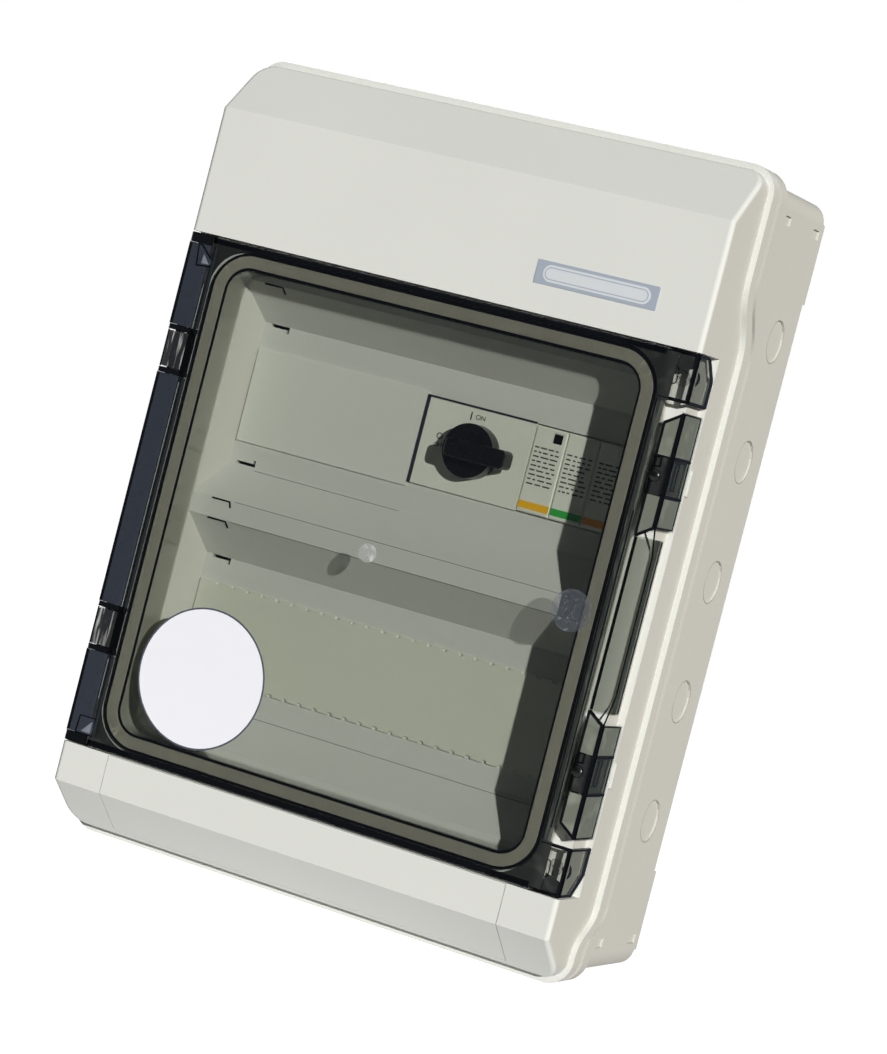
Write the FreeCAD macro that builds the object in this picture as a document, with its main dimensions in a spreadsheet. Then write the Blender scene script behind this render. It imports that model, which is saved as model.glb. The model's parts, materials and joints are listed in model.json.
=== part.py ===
import FreeCAD, Part
import math
import operator
import os
import types
import Sketcher

# Wall-mounted distribution box for a solar array: a tub that is screwed to the wall, a front
# cover with a sunken tray and two rows of device cut-outs, a smoked door with a latch bar, and
# behind the cut-outs a rotary DC isolator and a three-pole surge arrester on mounting rails.
# Millimetres. X to the right, Z up, the front faces -Y. The origin is the middle of the
# wall-screw pattern on the wall plane. A depth is measured back from the cover's front face.

SIZES = {
    # The rail devices, which set the tray's width and height
    "module_width": 18.0,
    "module_count": 12.0,
    "row_play": 0.5,
    "row_pitch": 125.0,
    "row_flat": 75.6,
    "ridge_width": 10.4,
    "row_end": 5.0,
    "device_drop": 0.9,
    # From the tray out to the cover's edges
    "cutout_rim": 2.5,
    "tray_lean": 8.2,
    "tray_margin": 0.7,
    "gasket_band": 6.3,
    "pane_margin": 3.0,
    "strip_rise": 4.7,
    "strip_band": 12.2,
    "door_end": 5.3,
    "door_overhang": 0.2,
    "front_top": 66.5,
    "front_bottom": 21.6,
    "bevel_top": 28.5,
    "bevel_bottom": 22.2,
    "bevel_depth": 28.8,
    # Outer form
    "total_depth": 132.5,
    "foot_height": 3.0,
    "tub_inset_side": 0.5,
    "tub_inset_end": 1.2,
    "rim_proud_side": 3.0,
    "rim_proud_end": 3.7,
    "rim_radius": 14.0,
    "corner_radius": 10.0,
    "crest_radius": 2.5,
    "wall": 3.0,
    # Seam between tub and cover, which steps forward near both ends
    "cover_rim_depth": 52.0,
    "cover_rim_thick": 8.7,
    "seam_seal_thick": 4.3,
    "flange_thick": 8.0,
    "seam_shift": 17.0,
    "jog_top_inset": 61.8,
    "jog_top_length": 22.0,
    "jog_top_radius": 30.0,
    "jog_bottom_inset": 18.8,
    "jog_bottom_length": 13.0,
    "jog_bottom_radius": 14.0,
    "seam_seal_inset": 1.6,
    "seam_seal_width": 2.6,
    # Tub
    "foot_width": 44.0,
    "foot_length": 52.0,
    "wall_hole_inset_side": 29.0,
    "wall_hole_inset_end": 26.6,
    "wall_hole_radius": 2.8,
    "knockout_radius": 11.0,
    "knockout_cut": 0.9,
    "knockout_depth": 102.4,
    "knockout_pitch": 63.5,
    "knockout_middle": 2.3,
    "end_knockout_radius": 16.0,
    "end_knockout_pitch": 88.0,
    "hook_cut": 1.2,
    "hook_height": 4.8,
    "hook_inset": 16.0,
    "hook_front_depth": 75.1,
    "hook_front_width": 9.2,
    "hook_rear_depth": 122.0,
    "hook_rear_width": 10.0,
    # Door
    "door_gap": 0.7,
    "pane_proud": 1.7,
    "pane_thick": 3.0,
    "strip_thick": 2.4,
    "strip_skirt_depth": 6.6,
    "strip_crest": 1.4,
    "groove_width": 1.7,
    "groove_cut": 0.9,
    "edge_drop": 0.6,
    "gasket_radius": 20.0,
    "gasket_gap": 0.3,
    "gasket_slack": 0.1,
    "gasket_rib": 1.8,
    "seat_depth": 4.3,
    "skirt_thick": 1.8,
    "skirt_depth": 21.0,
    "rebate_overlap": 2.5,
    "rebate_depth": 9.8,
    "side_recess": 3.7,
    "side_recess_depth": 27.6,
    "corner_height": 24.8,
    "corner_thick": 2.2,
    "corner_depth": 27.0,
    "corner_cut": 10.6,
    # Hinge
    "hinge_inset": 4.7,
    "hinge_depth": 4.0,
    "hinge_end": 62.0,
    "hinge_notch": 20.0,
    "hinge_notch_overlap": 1.3,
    "hinge_gap": 0.3,
    "clip_lean": 2.0,
    "barrel_radius": 3.5,
    "knuckle_length": 8.0,
    "pin_radius": 1.25,
    "pin_gap": 0.1,
    # Latch bar
    "latch_inset": 7.7,
    "latch_depth": 4.0,
    "latch_gap": 1.8,
    "latch_end": 29.2,
    "latch_length": 57.9,
    "latch_shear": 6.0,
    "latch_thick": 2.2,
    "latch_bevel": 0.9,
    "latch_skirt_depth": 25.5,
    "latch_knuckle_radius": 2.9,
    "latch_knuckle_length": 16.0,
    "latch_web": 2.0,
    "latch_window": 19.0,
    "latch_window_inset": 3.7,
    "grip_half": 44.0,
    "grip_front": 0.4,
    "grip_drop": 9.8,
    "grip_skirt_depth": 19.0,
    "grip_inset": 1.1,
    "catch_height": 13.0,
    "catch_front_depth": 27.9,
    "catch_thick": 3.2,
    "catch_proud": 1.3,
    # Tray with its two rows
    "tray_lip_depth": 22.5,
    "tray_depth": 40.65,
    "tray_corner": 14.0,
    "ridge_depth": 24.5,
    "wedge_depth": 24.0,
    "cutout_height": 46.0,
    "clip_slot_end": 12.5,
    "clip_slot_width": 11.0,
    "clip_slot_slit": 1.6,
    "clip_slot_leg": 3.4,
    # Terminal cover
    "flap_inset": 28.5,
    "flap_thick": 2.5,
    "flap_gap": 0.35,
    "flap_reach": 26.5,
    # Cover screws
    "cover_screw_inset": 9.5,
    "cover_screw_end": 13.0,
    "cover_post_half": 5.2,
    "cover_screw_radius": 2.0,
    "cover_head_radius": 3.9,
    "cover_head_thick": 2.8,
    "cover_screw_length": 76.0,
    "hole_gap": 0.2,
    "screw_slot_width": 0.9,
    "screw_slot_cut": 0.9,
    # Blanking strips
    "strip_lap": 1.5,
    "strip_lap_end": 2.0,
    "strip_plate": 1.4,
    "strip_split_gap": 1.7,
    "strip_rib": 1.6,
    "strip_rib_depth": 8.0,
    "notch_width": 2.6,
    "notch_height": 1.3,
    # Rails and their carriers
    "rail_front": 88.0,
    "rail_height": 35.0,
    "rail_crown": 27.0,
    "rail_rise": 7.5,
    "rail_thick": 1.0,
    "rail_overrun": 7.0,
    "carrier_inset": 1.2,
    "carrier_width": 16.0,
    "carrier_thick": 2.0,
    "carrier_overrun": 18.0,
    "carrier_flange": 9.0,
    "carrier_notch_gap": 1.0,
    "pedestal_reach": 55.5,
    "pedestal_half": 7.0,
    "small_screw_radius": 1.9,
    "small_head_radius": 3.6,
    "small_head_thick": 2.2,
    "small_screw_length": 9.0,
    # Devices on the rails
    "device_height": 90.0,
    "device_gap": 0.15,
    "nose_height": 45.0,
    "shoulder_gap": 0.65,
    "foot_depth": 92.0,
    "foot_taper": 6.0,
    "foot_hook": 2.0,
    "rail_slot_gap": 0.25,
    "switch_width": 60.5,
    "plate_thick": 1.6,
    "plate_height": 45.3,
    "plate_front": 39.2,
    "knob_inset": 29.5,
    "knob_rise": 0.6,
    "knob_radius": 14.0,
    "knob_gap": 0.3,
    "knob_disc_front": 30.0,
    "knob_bar_front": 20.0,
    "knob_bar_height": 9.8,
    "knob_bar_radius": 2.7,
    "knob_tail": 9.0,
    "knob_nose": 25.0,
    "knob_bar_edge": 0.7,
    "knob_arrow": 3.6,
    "knob_arrow_inset": 1.2,
    "knob_arrow_cut": 0.4,
    "shaft_half": 2.1,
    "shaft_gap": 0.1,
    "shaft_inset": 2.0,
    "shaft_end": 62.0,
    "pole_count": 3.0,
    "cartridge_front": 39.4,
    "cartridge_height": 44.6,
    "cartridge_back": 76.0,
    "cartridge_edge": 0.7,
    "window_size": 5.2,
    "window_cut": 0.8,
    "window_shift": 4.0,
    "window_drop": 2.0,
    "terminal_size": 4.4,
    "terminal_pitch": 15.0,
    "terminal_rise": 36.0,
    "terminal_cut": 9.0,
    # Earth and neutral bars
    "bar_inset": 23.6,
    "bar_length": 92.0,
    "bar_section": 9.0,
    "bar_front": 96.0,
    "bar_offset": 52.0,
    "bar_entry": 4.0,
    "bar_entry_pitch": 9.0,
    "bar_entry_count": 9.0,
    "holder_width": 12.0,
    "holder_lip": 2.4,
    "holder_gap": 0.05,
}


class Size:
    """A length in millimetres with the expression that gives it in the document."""

    def __init__(self, value, text):
        self.value = value
        self.text = text

    def join(self, other, sign, work, swap=False):
        first, second = (as_size(other), self) if swap else (self, as_size(other))
        return Size(work(first.value, second.value), f"({first.text} {sign} {second.text})")

    def __add__(self, other):
        return self.join(other, "+", operator.add)

    def __radd__(self, other):
        return self.join(other, "+", operator.add, swap=True)

    def __sub__(self, other):
        return self.join(other, "-", operator.sub)

    def __rsub__(self, other):
        return self.join(other, "-", operator.sub, swap=True)

    def __mul__(self, other):
        return self.join(other, "*", operator.mul)

    def __rmul__(self, other):
        return self.join(other, "*", operator.mul, swap=True)

    def __truediv__(self, other):
        return self.join(other, "/", operator.truediv)

    def __neg__(self):
        return 0 - self


def as_size(item):
    return item if isinstance(item, Size) else Size(float(item), repr(float(item)))


doc = FreeCAD.newDocument("DisconnectBox")
sheet = doc.addObject("Spreadsheet::Sheet", "Sizes")
for row, (alias, number) in enumerate(SIZES.items(), start=1):
    sheet.set(f"A{row}", alias)
    sheet.set(f"B{row}", str(number))
    sheet.setAlias(f"B{row}", alias)
doc.recompute()
places = doc.addObject("App::VarSet", "Places")
S = types.SimpleNamespace(**{name: Size(number, f"Sizes.{name}") for name, number in SIZES.items()})
pieces = []

# Sides of the rounds that are drawn with few faces
shank_sides = 8
small_sides = 12
large_sides = 16

# How far a cutting outline runs past what it cuts
past = 1.0


# Sketches and features

def at(depth):
    """Y of the plane that lies this depth behind the front face."""
    return depth - S.total_depth


def poly(points):
    """A closed outline of straight lines. A third value rounds its corner to that radius."""
    corners = [[as_size(item) for item in point] for point in points]

    def draw(sketch):
        count = len(corners)
        spots = [FreeCAD.Vector(corner[0].value, corner[1].value, 0) for corner in corners]
        ways = [(spots[(i + 1) % count] - spots[i]).normalize() for i in range(count)]
        turns = [math.atan2(ways[i - 1].cross(ways[i]).z, ways[i - 1].dot(ways[i])) for i in range(count)]
        setbacks = [corner[2].value * math.tan(abs(turn) / 2) if len(corner) > 2 else 0.0
                    for corner, turn in zip(corners, turns)]
        first = sketch.GeometryCount
        for i in range(count):
            following = (i + 1) % count
            sketch.addGeometry(Part.LineSegment(spots[i] + ways[i] * setbacks[i],
                                                spots[following] - ways[i] * setbacks[following]))
        for i, corner in enumerate(corners):
            arriving, leaving = first + (i - 1) % count, first + i
            if len(corner) > 2:
                place = (spots[i], ways[i - 1], turns[i], setbacks[i])
                round_corner(sketch, arriving, leaving, corner, place)
            else:
                sketch.addConstraint(Sketcher.Constraint("Coincident", arriving, 2, leaving, 1))
                hold_point(sketch, leaving, 1, corner[:2])
    return draw


def round_corner(sketch, arriving, leaving, corner, place):
    """Joins two lines by a tangent arc, with a point that holds the corner they would meet in."""
    spot, way, turn, setback = place
    radius = corner[2].value
    inward = FreeCAD.Vector(-way.y, way.x, 0) * math.copysign(radius, turn)
    middle = spot - way * setback + inward
    start = math.atan2(-inward.y, -inward.x)
    ends = sorted((start, start + turn))
    circle = Part.Circle(middle, FreeCAD.Vector(0, 0, 1), radius)
    arc = sketch.addGeometry(Part.ArcOfCircle(circle, *ends))
    point = sketch.addGeometry(Part.Point(spot), True)
    near_end, far_end = (1, 2) if turn > 0 else (2, 1)
    sketch.addConstraint(Sketcher.Constraint("Tangent", arriving, 2, arc, near_end))
    sketch.addConstraint(Sketcher.Constraint("Tangent", arc, far_end, leaving, 1))
    sketch.addConstraint(Sketcher.Constraint("PointOnObject", point, 1, arriving))
    sketch.addConstraint(Sketcher.Constraint("PointOnObject", point, 1, leaving))
    hold(sketch, Sketcher.Constraint("Radius", arc, radius), corner[2])
    hold_point(sketch, point, 1, corner[:2])


def rect(left, low, right, high):
    return poly([(left, low), (right, low), (right, high), (left, high)])


def rounded(left, low, right, high, radius):
    """A rectangle whose corners are tangent arcs."""
    return poly([(left, low, radius), (right, low, radius), (right, high, radius), (left, high, radius)])


def ring(x, y, radius, sides):
    """A round drawn with few sides, for what is small or often repeated."""
    turns = [math.tau * (step + 0.5) / sides for step in range(sides)]
    return poly([(x + radius * math.cos(turn), y + radius * math.sin(turn)) for turn in turns])


def shank_hole(x, y, radius):
    return ring(x, y, radius, shank_sides)


def small_round(x, y, radius):
    return ring(x, y, radius, small_sides)


def large_round(x, y, radius):
    return ring(x, y, radius, large_sides)


def square(x, y, half):
    return rect(x - half, y - half, x + half, y + half)


def disc(x, y, radius):
    x, y, radius = as_size(x), as_size(y), as_size(radius)

    def draw(sketch):
        index = sketch.GeometryCount
        middle = FreeCAD.Vector(x.value, y.value, 0)
        sketch.addGeometry(Part.Circle(middle, FreeCAD.Vector(0, 0, 1), radius.value))
        hold(sketch, Sketcher.Constraint("Radius", index, radius.value), radius)
        hold_point(sketch, index, 3, (x, y))
    return draw


def side(points):
    """An outline seen from the right, given as depth and height, and a radius where it is round."""
    return poly([(at(depth), *rest) for depth, *rest in points])


def plan(points):
    """An outline seen from above, given as x and depth."""
    return poly([(x, at(depth)) for x, depth in points])


def placed(name, size):
    """Keeps a value that several pieces share in the document, where expressions can name it."""
    places.addProperty("App::PropertyFloat", name)
    places.setExpression(name, size.text)
    return Size(size.value, f"Places.{name}")


def hold(sketch, constraint, size):
    index = sketch.addConstraint(constraint)
    sketch.setExpression(f"Constraints[{index}]", size.text)


def hold_point(sketch, index, end, spot):
    for direction, size in zip(("DistanceX", "DistanceY"), spot):
        hold(sketch, Sketcher.Constraint(direction, -1, 1, index, end, size.value), size)


def body(label):
    item = doc.addObject("PartDesign::Body", label)
    item.Label = label
    pieces.append(item)
    return item


def feature(owner, kind, role, offset, length, shapes):
    """Pads or pockets the shapes, drawn on one of the body's own planes moved by the offset."""
    offset, length = as_size(offset), as_size(length)
    sketch = owner.newObject("Sketcher::SketchObject", f"{owner.Label}_outline")
    plane = next(item for item in owner.Origin.OriginFeatures if item.Role == role)
    sketch.AttachmentSupport = [(plane, "")]
    sketch.MapMode = "FlatFace"
    sketch.AttachmentOffset = FreeCAD.Placement(FreeCAD.Vector(0, 0, offset.value), FreeCAD.Rotation())
    sketch.setExpression(".AttachmentOffset.Base.z", offset.text)
    for draw in shapes:
        draw(sketch)
    solid = owner.newObject(f"PartDesign::{kind}", f"{owner.Label}_{kind.lower()}")
    solid.Profile = sketch
    solid.Length = length.value
    solid.setExpression("Length", length.text)
    owner.Tip = solid
    return solid


def pad_forward(owner, back, front, *shapes):
    return feature(owner, "Pad", "XZ_Plane", S.total_depth - back, back - front, shapes)


def cut_back(owner, front, back, *shapes):
    return feature(owner, "Pocket", "XZ_Plane", S.total_depth - front, back - front, shapes)


def pad_right(owner, left, right, *shapes):
    return feature(owner, "Pad", "YZ_Plane", left, right - left, shapes)


def cut_left(owner, right, left, *shapes):
    return feature(owner, "Pocket", "YZ_Plane", right, right - left, shapes)


def pad_up(owner, low, high, *shapes):
    return feature(owner, "Pad", "XY_Plane", low, high - low, shapes)


def cut_down(owner, high, low, *shapes):
    return feature(owner, "Pocket", "XY_Plane", high, high - low, shapes)


def dress(owner, kind, size, chosen):
    """Fillets or chamfers the edges of the body so far for which chosen is true."""
    doc.recompute()
    base = owner.Tip
    names = [f"Edge{i}" for i, edge in enumerate(base.Shape.Edges, start=1) if chosen(edge.BoundBox)]
    size = as_size(size)
    item = owner.newObject(f"PartDesign::{kind}", f"{owner.Label}_{kind.lower()}")
    item.Base = (base, names)
    field = "Radius" if kind == "Fillet" else "Size"
    setattr(item, field, size.value)
    item.setExpression(field, size.text)
    owner.Tip = item


def mirrored(owner, originals, role):
    item = owner.newObject("PartDesign::Mirrored", f"{owner.Label}_mirrored")
    item.Originals = originals
    plane = next(part for part in owner.Origin.OriginFeatures if part.Role == role)
    item.MirrorPlane = (plane, [""])
    owner.Tip = item


def row_of(owner, original, pitch, count):
    """Repeats a feature along its own sketch's horizontal axis."""
    item = owner.newObject("PartDesign::LinearPattern", f"{owner.Label}_row")
    item.Originals = [original]
    item.Direction = (original.Profile[0], ["H_Axis"])
    pitch, count = as_size(pitch), as_size(count)
    item.Length = (pitch * (count - 1)).value
    item.setExpression("Length", (pitch * (count - 1)).text)
    item.Occurrences = int(count.value)
    item.setExpression("Occurrences", count.text)
    owner.Tip = item


def near(first, second):
    return abs(first - as_size(second).value) < 0.01


def rod(x, z, back, front, radius, sides):
    """A prism that runs from back to front."""
    item = doc.addObject("Part::Prism", "Rod")
    item.Polygon = sides
    turn = FreeCAD.Rotation(FreeCAD.Vector(1, 0, 0), 90)
    item.Placement = FreeCAD.Placement(FreeCAD.Vector(), turn)
    for field, size in (("Circumradius", radius), ("Height", back - front),
                        (".Placement.Base.x", x), (".Placement.Base.y", at(back)),
                        (".Placement.Base.z", z)):
        item.setExpression(field, as_size(size).text)
    return item


def block(left, back, low, right, front, high):
    item = doc.addObject("Part::Box", "Block")
    for field, size in (("Length", right - left), ("Width", back - front), ("Height", high - low),
                        (".Placement.Base.x", left), (".Placement.Base.y", at(front)),
                        (".Placement.Base.z", low)):
        item.setExpression(field, as_size(size).text)
    return item


def fused(first, second):
    item = doc.addObject("Part::Fuse", "Joined")
    item.Base, item.Tool = first, second
    return item


def less(first, second):
    item = doc.addObject("Part::Cut", "Cut")
    item.Base, item.Tool = first, second
    return item


def screw_group(label, spots, head_front, head_radius, head_thick, radius, length, slotted=False):
    """Screws driven from the front, one at each spot: slotted round heads, or hexagon heads."""
    solids = []
    for x, z in spots:
        under_head = head_front + head_thick
        screw = fused(rod(x, z, under_head, head_front, head_radius, small_sides if slotted else 6),
                      rod(x, z, under_head + length, under_head, radius, shank_sides))
        if slotted:
            half = S.screw_slot_width / 2
            screw = less(screw, block(x - head_radius, head_front + S.screw_slot_cut, z - half,
                                      x + head_radius, head_front, z + half))
        solids.append(screw)
    grouped(label, solids)


def grouped(label, solids):
    group = doc.addObject("Part::Compound", label)
    group.Label = label
    group.Links = solids
    pieces.append(group)


# Places that several pieces share

half_cutout = placed("half_cutout", S.module_count * S.module_width / 2 + S.row_play)
tray_half = placed("tray_half", half_cutout + S.cutout_rim + S.tray_lean)
skirt_outer = placed("skirt_outer", tray_half - S.tray_margin)
half_gasket = placed("half_gasket", skirt_outer + S.gasket_band)
half_pane = placed("half_pane", half_gasket + S.pane_margin)
strip_inner = placed("strip_inner", half_pane + S.strip_rise)
half_door = placed("half_door", strip_inner + S.strip_band)
half_cover = placed("half_cover", half_door - S.door_overhang)
half_base = placed("half_base", half_cover - S.tub_inset_side)
half_rim = placed("half_rim", half_cover + S.rim_proud_side)

row_slope = placed("row_slope", (S.row_pitch - S.row_flat - S.ridge_width) / 2)
skirt_rise = placed("skirt_rise", (S.row_pitch + S.row_flat) / 2 + row_slope + S.row_end)
gasket_rise = placed("gasket_rise", skirt_rise + S.gasket_band)
door_rise = placed("door_rise", gasket_rise + S.door_end)
top_margin = S.front_top + S.bevel_top
bottom_margin = S.front_bottom + S.bevel_bottom
cover_rise = placed("cover_rise", door_rise + (top_margin + bottom_margin) / 2)
base_rise = placed("base_rise", cover_rise - S.tub_inset_end)
rim_rise = placed("rim_rise", cover_rise + S.rim_proud_end)
door_z = placed("door_z", (bottom_margin - top_margin) / 2)
door_top = placed("door_top", door_z + door_rise)
door_bottom = placed("door_bottom", door_z - door_rise)
face_top = placed("face_top", door_top + S.front_top)
face_bottom = placed("face_bottom", door_bottom - S.front_bottom)
row_middles = [door_z + S.row_pitch / 2, door_z - S.row_pitch / 2]
upper_row = placed("upper_row", row_middles[0] - S.device_drop)
lower_row = placed("lower_row", row_middles[1] - S.device_drop)
tray_top = placed("tray_top", door_z + skirt_rise + S.tray_margin)
tray_bottom = placed("tray_bottom", door_z - skirt_rise - S.tray_margin)

pane_back = placed("pane_back", S.pane_thick - S.pane_proud)
seal_front = placed("seal_front", S.cover_rim_depth + S.cover_rim_thick)
flange_front = placed("flange_front", seal_front + S.seam_seal_thick)
flange_back = placed("flange_back", flange_front + S.flange_thick)
back_plane = placed("back_plane", S.total_depth - S.foot_height)
floor_depth = placed("floor_depth", back_plane - S.wall)
shoulder_depth = placed("shoulder_depth", S.tray_depth + S.wall + S.shoulder_gap)
carrier_front = placed("carrier_front", S.rail_front + S.rail_rise)
carrier_back = placed("carrier_back", carrier_front + S.carrier_thick)

recess_x = placed("recess_x", half_cover - S.side_recess)
rebate_inner = placed("rebate_inner", strip_inner - S.rebate_overlap)
hinge_x = placed("hinge_x", half_door - S.hinge_inset)
latch_x = placed("latch_x", half_door - S.latch_inset)
hinge_rise = placed("hinge_rise", door_rise - S.hinge_end)
carrier_x = placed("carrier_x", tray_half - S.carrier_inset)
switch_right = placed("switch_right", (S.module_count / 2 - S.pole_count) * S.module_width)
switch_left = placed("switch_left", switch_right - S.switch_width)
cover_screws = [(sign * (half_cover - S.cover_screw_inset), door_z + rise * (door_rise - S.cover_screw_end))
                for sign in (1, -1) for rise in (1, -1)]
pedestals = [(sign * carrier_x, door_z + rise * (S.row_pitch / 2 + S.pedestal_reach))
             for sign in (1, -1) for rise in (1, -1)]
rail_screws = [(sign * carrier_x, row_z) for sign in (1, -1) for row_z in (upper_row, lower_row)]
flap_half = placed("flap_half", half_cover - S.flap_inset)
mitre = math.tan(math.radians(22.5))
slant = math.sqrt(2)


# Seam pieces

def seam(depth):
    """The seam's line from top to bottom: its ends stand forward, and it swings over in curves."""
    top, bottom = cover_rise - S.jog_top_inset, S.jog_bottom_inset - cover_rise
    return [(depth - S.seam_shift, top, S.jog_top_radius),
            (depth, top - S.jog_top_length, S.jog_top_radius),
            (depth, bottom + S.jog_bottom_length, S.jog_bottom_radius),
            (depth - S.seam_shift, bottom, S.jog_bottom_radius)]


def trim_front(owner, depth):
    """Cuts away what stands in front of the seam's line at this depth."""
    front, limit = depth - S.seam_shift, rim_rise + past
    outline = [(front - past, limit), (front, limit)] + seam(depth)
    outline += [(front, -limit), (front - past, -limit)]
    cut_left(owner, half_rim + past, -half_rim - past, side(outline))


def trim_back(owner, depth):
    """Cuts away what lies behind the seam's line at this depth."""
    front, back, limit = depth - S.seam_shift, depth + past, rim_rise + past
    outline = [(front, limit)] + seam(depth) + [(front, -limit), (back, -limit), (back, limit)]
    cut_left(owner, half_rim + past, -half_rim - past, side(outline))


def centred(half_width, rise, radius, inset=0):
    """A rounded rectangle about the middle of the box, or one set in from it all round."""
    return rounded(inset - half_width, inset - rise, half_width - inset, rise - inset, radius - inset)


def make_base_shell():
    shell = body("base_shell")
    pad_forward(shell, flange_back, flange_front - S.seam_shift, centred(half_rim, rim_rise, S.rim_radius))
    trim_back(shell, flange_back)
    pad_forward(shell, back_plane, flange_front - S.seam_shift,
                centred(half_base, base_rise, S.corner_radius))
    trim_front(shell, flange_front)
    cut_back(shell, flange_front - S.seam_shift, floor_depth,
             centred(half_base, base_rise, S.corner_radius, S.wall))
    pad_forward(shell, S.total_depth, back_plane, *[foot(sx, sz) for sx in (1, -1) for sz in (1, -1)])
    pad_forward(shell, floor_depth, flange_front + S.hole_gap,
                *[square(x, z, S.cover_post_half) for x, z in cover_screws])
    pad_forward(shell, floor_depth, carrier_back, *[square(x, z, S.pedestal_half) for x, z in pedestals])
    cut_back(shell, flange_front, floor_depth,
             *[shank_hole(x, z, S.cover_screw_radius + S.hole_gap) for x, z in cover_screws])
    cut_back(shell, carrier_back, carrier_back + S.small_screw_length,
             *[shank_hole(x, z, S.small_screw_radius + S.hole_gap) for x, z in pedestals])
    wall_holes = [(sx * (half_base - S.wall_hole_inset_side), sz * (base_rise - S.wall_hole_inset_end))
                  for sx in (1, -1) for sz in (1, -1)]
    cut_back(shell, floor_depth, S.total_depth, *[disc(x, z, S.wall_hole_radius) for x, z in wall_holes])
    add_knockouts(shell)
    add_hooks(shell)


def foot(sx, sz):
    """The foot in one corner of the tub, cut off inside the tub's rounding."""
    outer_x, inner_x = sx * half_base, sx * (half_base - S.foot_width)
    outer_z, inner_z = sz * base_rise, sz * (base_rise - S.foot_length)
    cut = S.corner_radius
    return poly([(inner_x, inner_z), (outer_x, inner_z), (outer_x, outer_z - sz * cut),
                 (outer_x - sx * cut, outer_z), (inner_x, outer_z)])


def add_knockouts(shell):
    """Round places with a thin wall, which are pushed out for a cable gland: none on top."""
    right = cut_left(shell, half_base, half_base - S.knockout_cut,
                     *[large_round(at(S.knockout_depth), S.knockout_middle + step * S.knockout_pitch,
                                   S.knockout_radius) for step in (-2, -1, 0, 1, 2)])
    mirrored(shell, [right], "YZ_Plane")
    cut_down(shell, S.knockout_cut - base_rise, -base_rise,
             *[large_round(step * S.end_knockout_pitch, at(S.knockout_depth), S.end_knockout_radius)
               for step in (-1, 0, 1)])


def add_hooks(shell):
    """Small pockets near the four corners of the side walls, for wall brackets."""
    half = S.hook_height / 2
    boxes = []
    for height in (base_rise - S.hook_inset, S.hook_inset - base_rise):
        for depth, width in ((S.hook_front_depth, S.hook_front_width),
                             (S.hook_rear_depth, S.hook_rear_width)):
            boxes.append(rect(at(depth - width / 2), height - half, at(depth + width / 2), height + half))
    right = cut_left(shell, half_base, half_base - S.hook_cut, *boxes)
    mirrored(shell, [right], "YZ_Plane")


def make_body_seal():
    seal = body("body_seal")
    outer, inner = S.seam_seal_inset, S.seam_seal_inset + S.seam_seal_width
    pad_forward(seal, flange_front, seal_front - S.seam_shift,
                centred(half_rim, rim_rise, S.rim_radius, outer),
                centred(half_rim, rim_rise, S.rim_radius, inner))
    trim_back(seal, flange_front)
    trim_front(seal, seal_front)


# Front cover

def row_outline(margin):
    """The tray's floor line as depth and height, the margin being the wall added behind it."""
    flat, slope = S.row_flat / 2, S.row_flat / 2 + row_slope
    deep, lean = S.tray_depth + margin, margin * mitre
    upper, lower = row_middles
    corner = lean * (1 - mitre)
    points = [(S.tray_lip_depth + lean, upper + slope + corner)]
    points += [(deep, upper + flat + lean), (deep, upper - flat - lean)]
    ridge = S.ridge_depth + margin
    points += [(ridge, upper - slope - lean), (ridge, lower + slope + lean)]
    points += [(deep, lower + flat + lean), (deep, lower - flat - lean)]
    return points + [(S.tray_lip_depth + lean, lower - slope - corner)]


def make_front_cover():
    cover = body("front_cover")
    pad_forward(cover, seal_front, S.cover_rim_depth - S.seam_shift,
                centred(half_rim, rim_rise, S.rim_radius))
    trim_back(cover, seal_front)
    trim_front(cover, S.cover_rim_depth)
    pad_forward(cover, seal_front - S.seam_shift, 0, centred(half_cover, cover_rise, S.corner_radius))
    rear, front = seam(seal_front), seal_front - S.seam_shift - past
    ends = [rear[0][1] + S.rim_radius, rear[3][1] - S.rim_radius]
    outline = [(rear[0][0], ends[0])] + rear + [(rear[3][0], ends[1]), (front, ends[1]), (front, ends[0])]
    pad_right(cover, -half_cover, half_cover, side(outline))
    limit = cover_rise + past
    bevels = [side([(0, end), (S.bevel_depth, sign * cover_rise), (S.bevel_depth, sign * limit),
                    (-past, sign * limit), (-past, end)])
              for sign, end in ((1, face_top), (-1, face_bottom))]
    cut_left(cover, half_cover + past, -half_cover - past, *bevels)
    dress(cover, "Fillet", S.crest_radius,
          lambda box: near(box.YMin, at(0)) and box.XLength < 0.01 and box.ZLength > 1)
    cut_cavity(cover)
    add_tray(cover)
    add_door_seat(cover)
    add_cover_bosses(cover)
    cut_left(cover, flap_half, -flap_half, side(flap_outline(0)))


def cut_cavity(cover):
    """Hollows the cover from behind, with a thicker wall behind the terminal cover."""
    inner, lean = cover_rise - S.wall, S.wall * mitre
    thick = S.wall + S.flap_thick
    back = seal_front - S.seam_shift + past
    hollow = [(S.wall, face_top - lean), (S.bevel_depth + lean, inner), (back, inner)]
    hollow += seam(seal_front + past)
    hollow += [(back, -inner), (S.bevel_depth + thick * mitre + S.flap_thick, -inner),
               (thick, face_bottom + thick * mitre), (thick, door_bottom), (S.wall, door_bottom)]
    cut_left(cover, half_cover - S.wall, S.wall - half_cover, side(hollow))


def add_tray(cover):
    outer = tray_half + S.wall
    lines = row_outline(S.wall)
    shape = [(S.wall, tray_top + S.wall), (lines[0][0], tray_top + S.wall)] + lines
    shape += [(lines[-1][0], tray_bottom - S.wall), (S.wall, tray_bottom - S.wall)]
    pad_right(cover, -outer, outer, side(shape))


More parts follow.
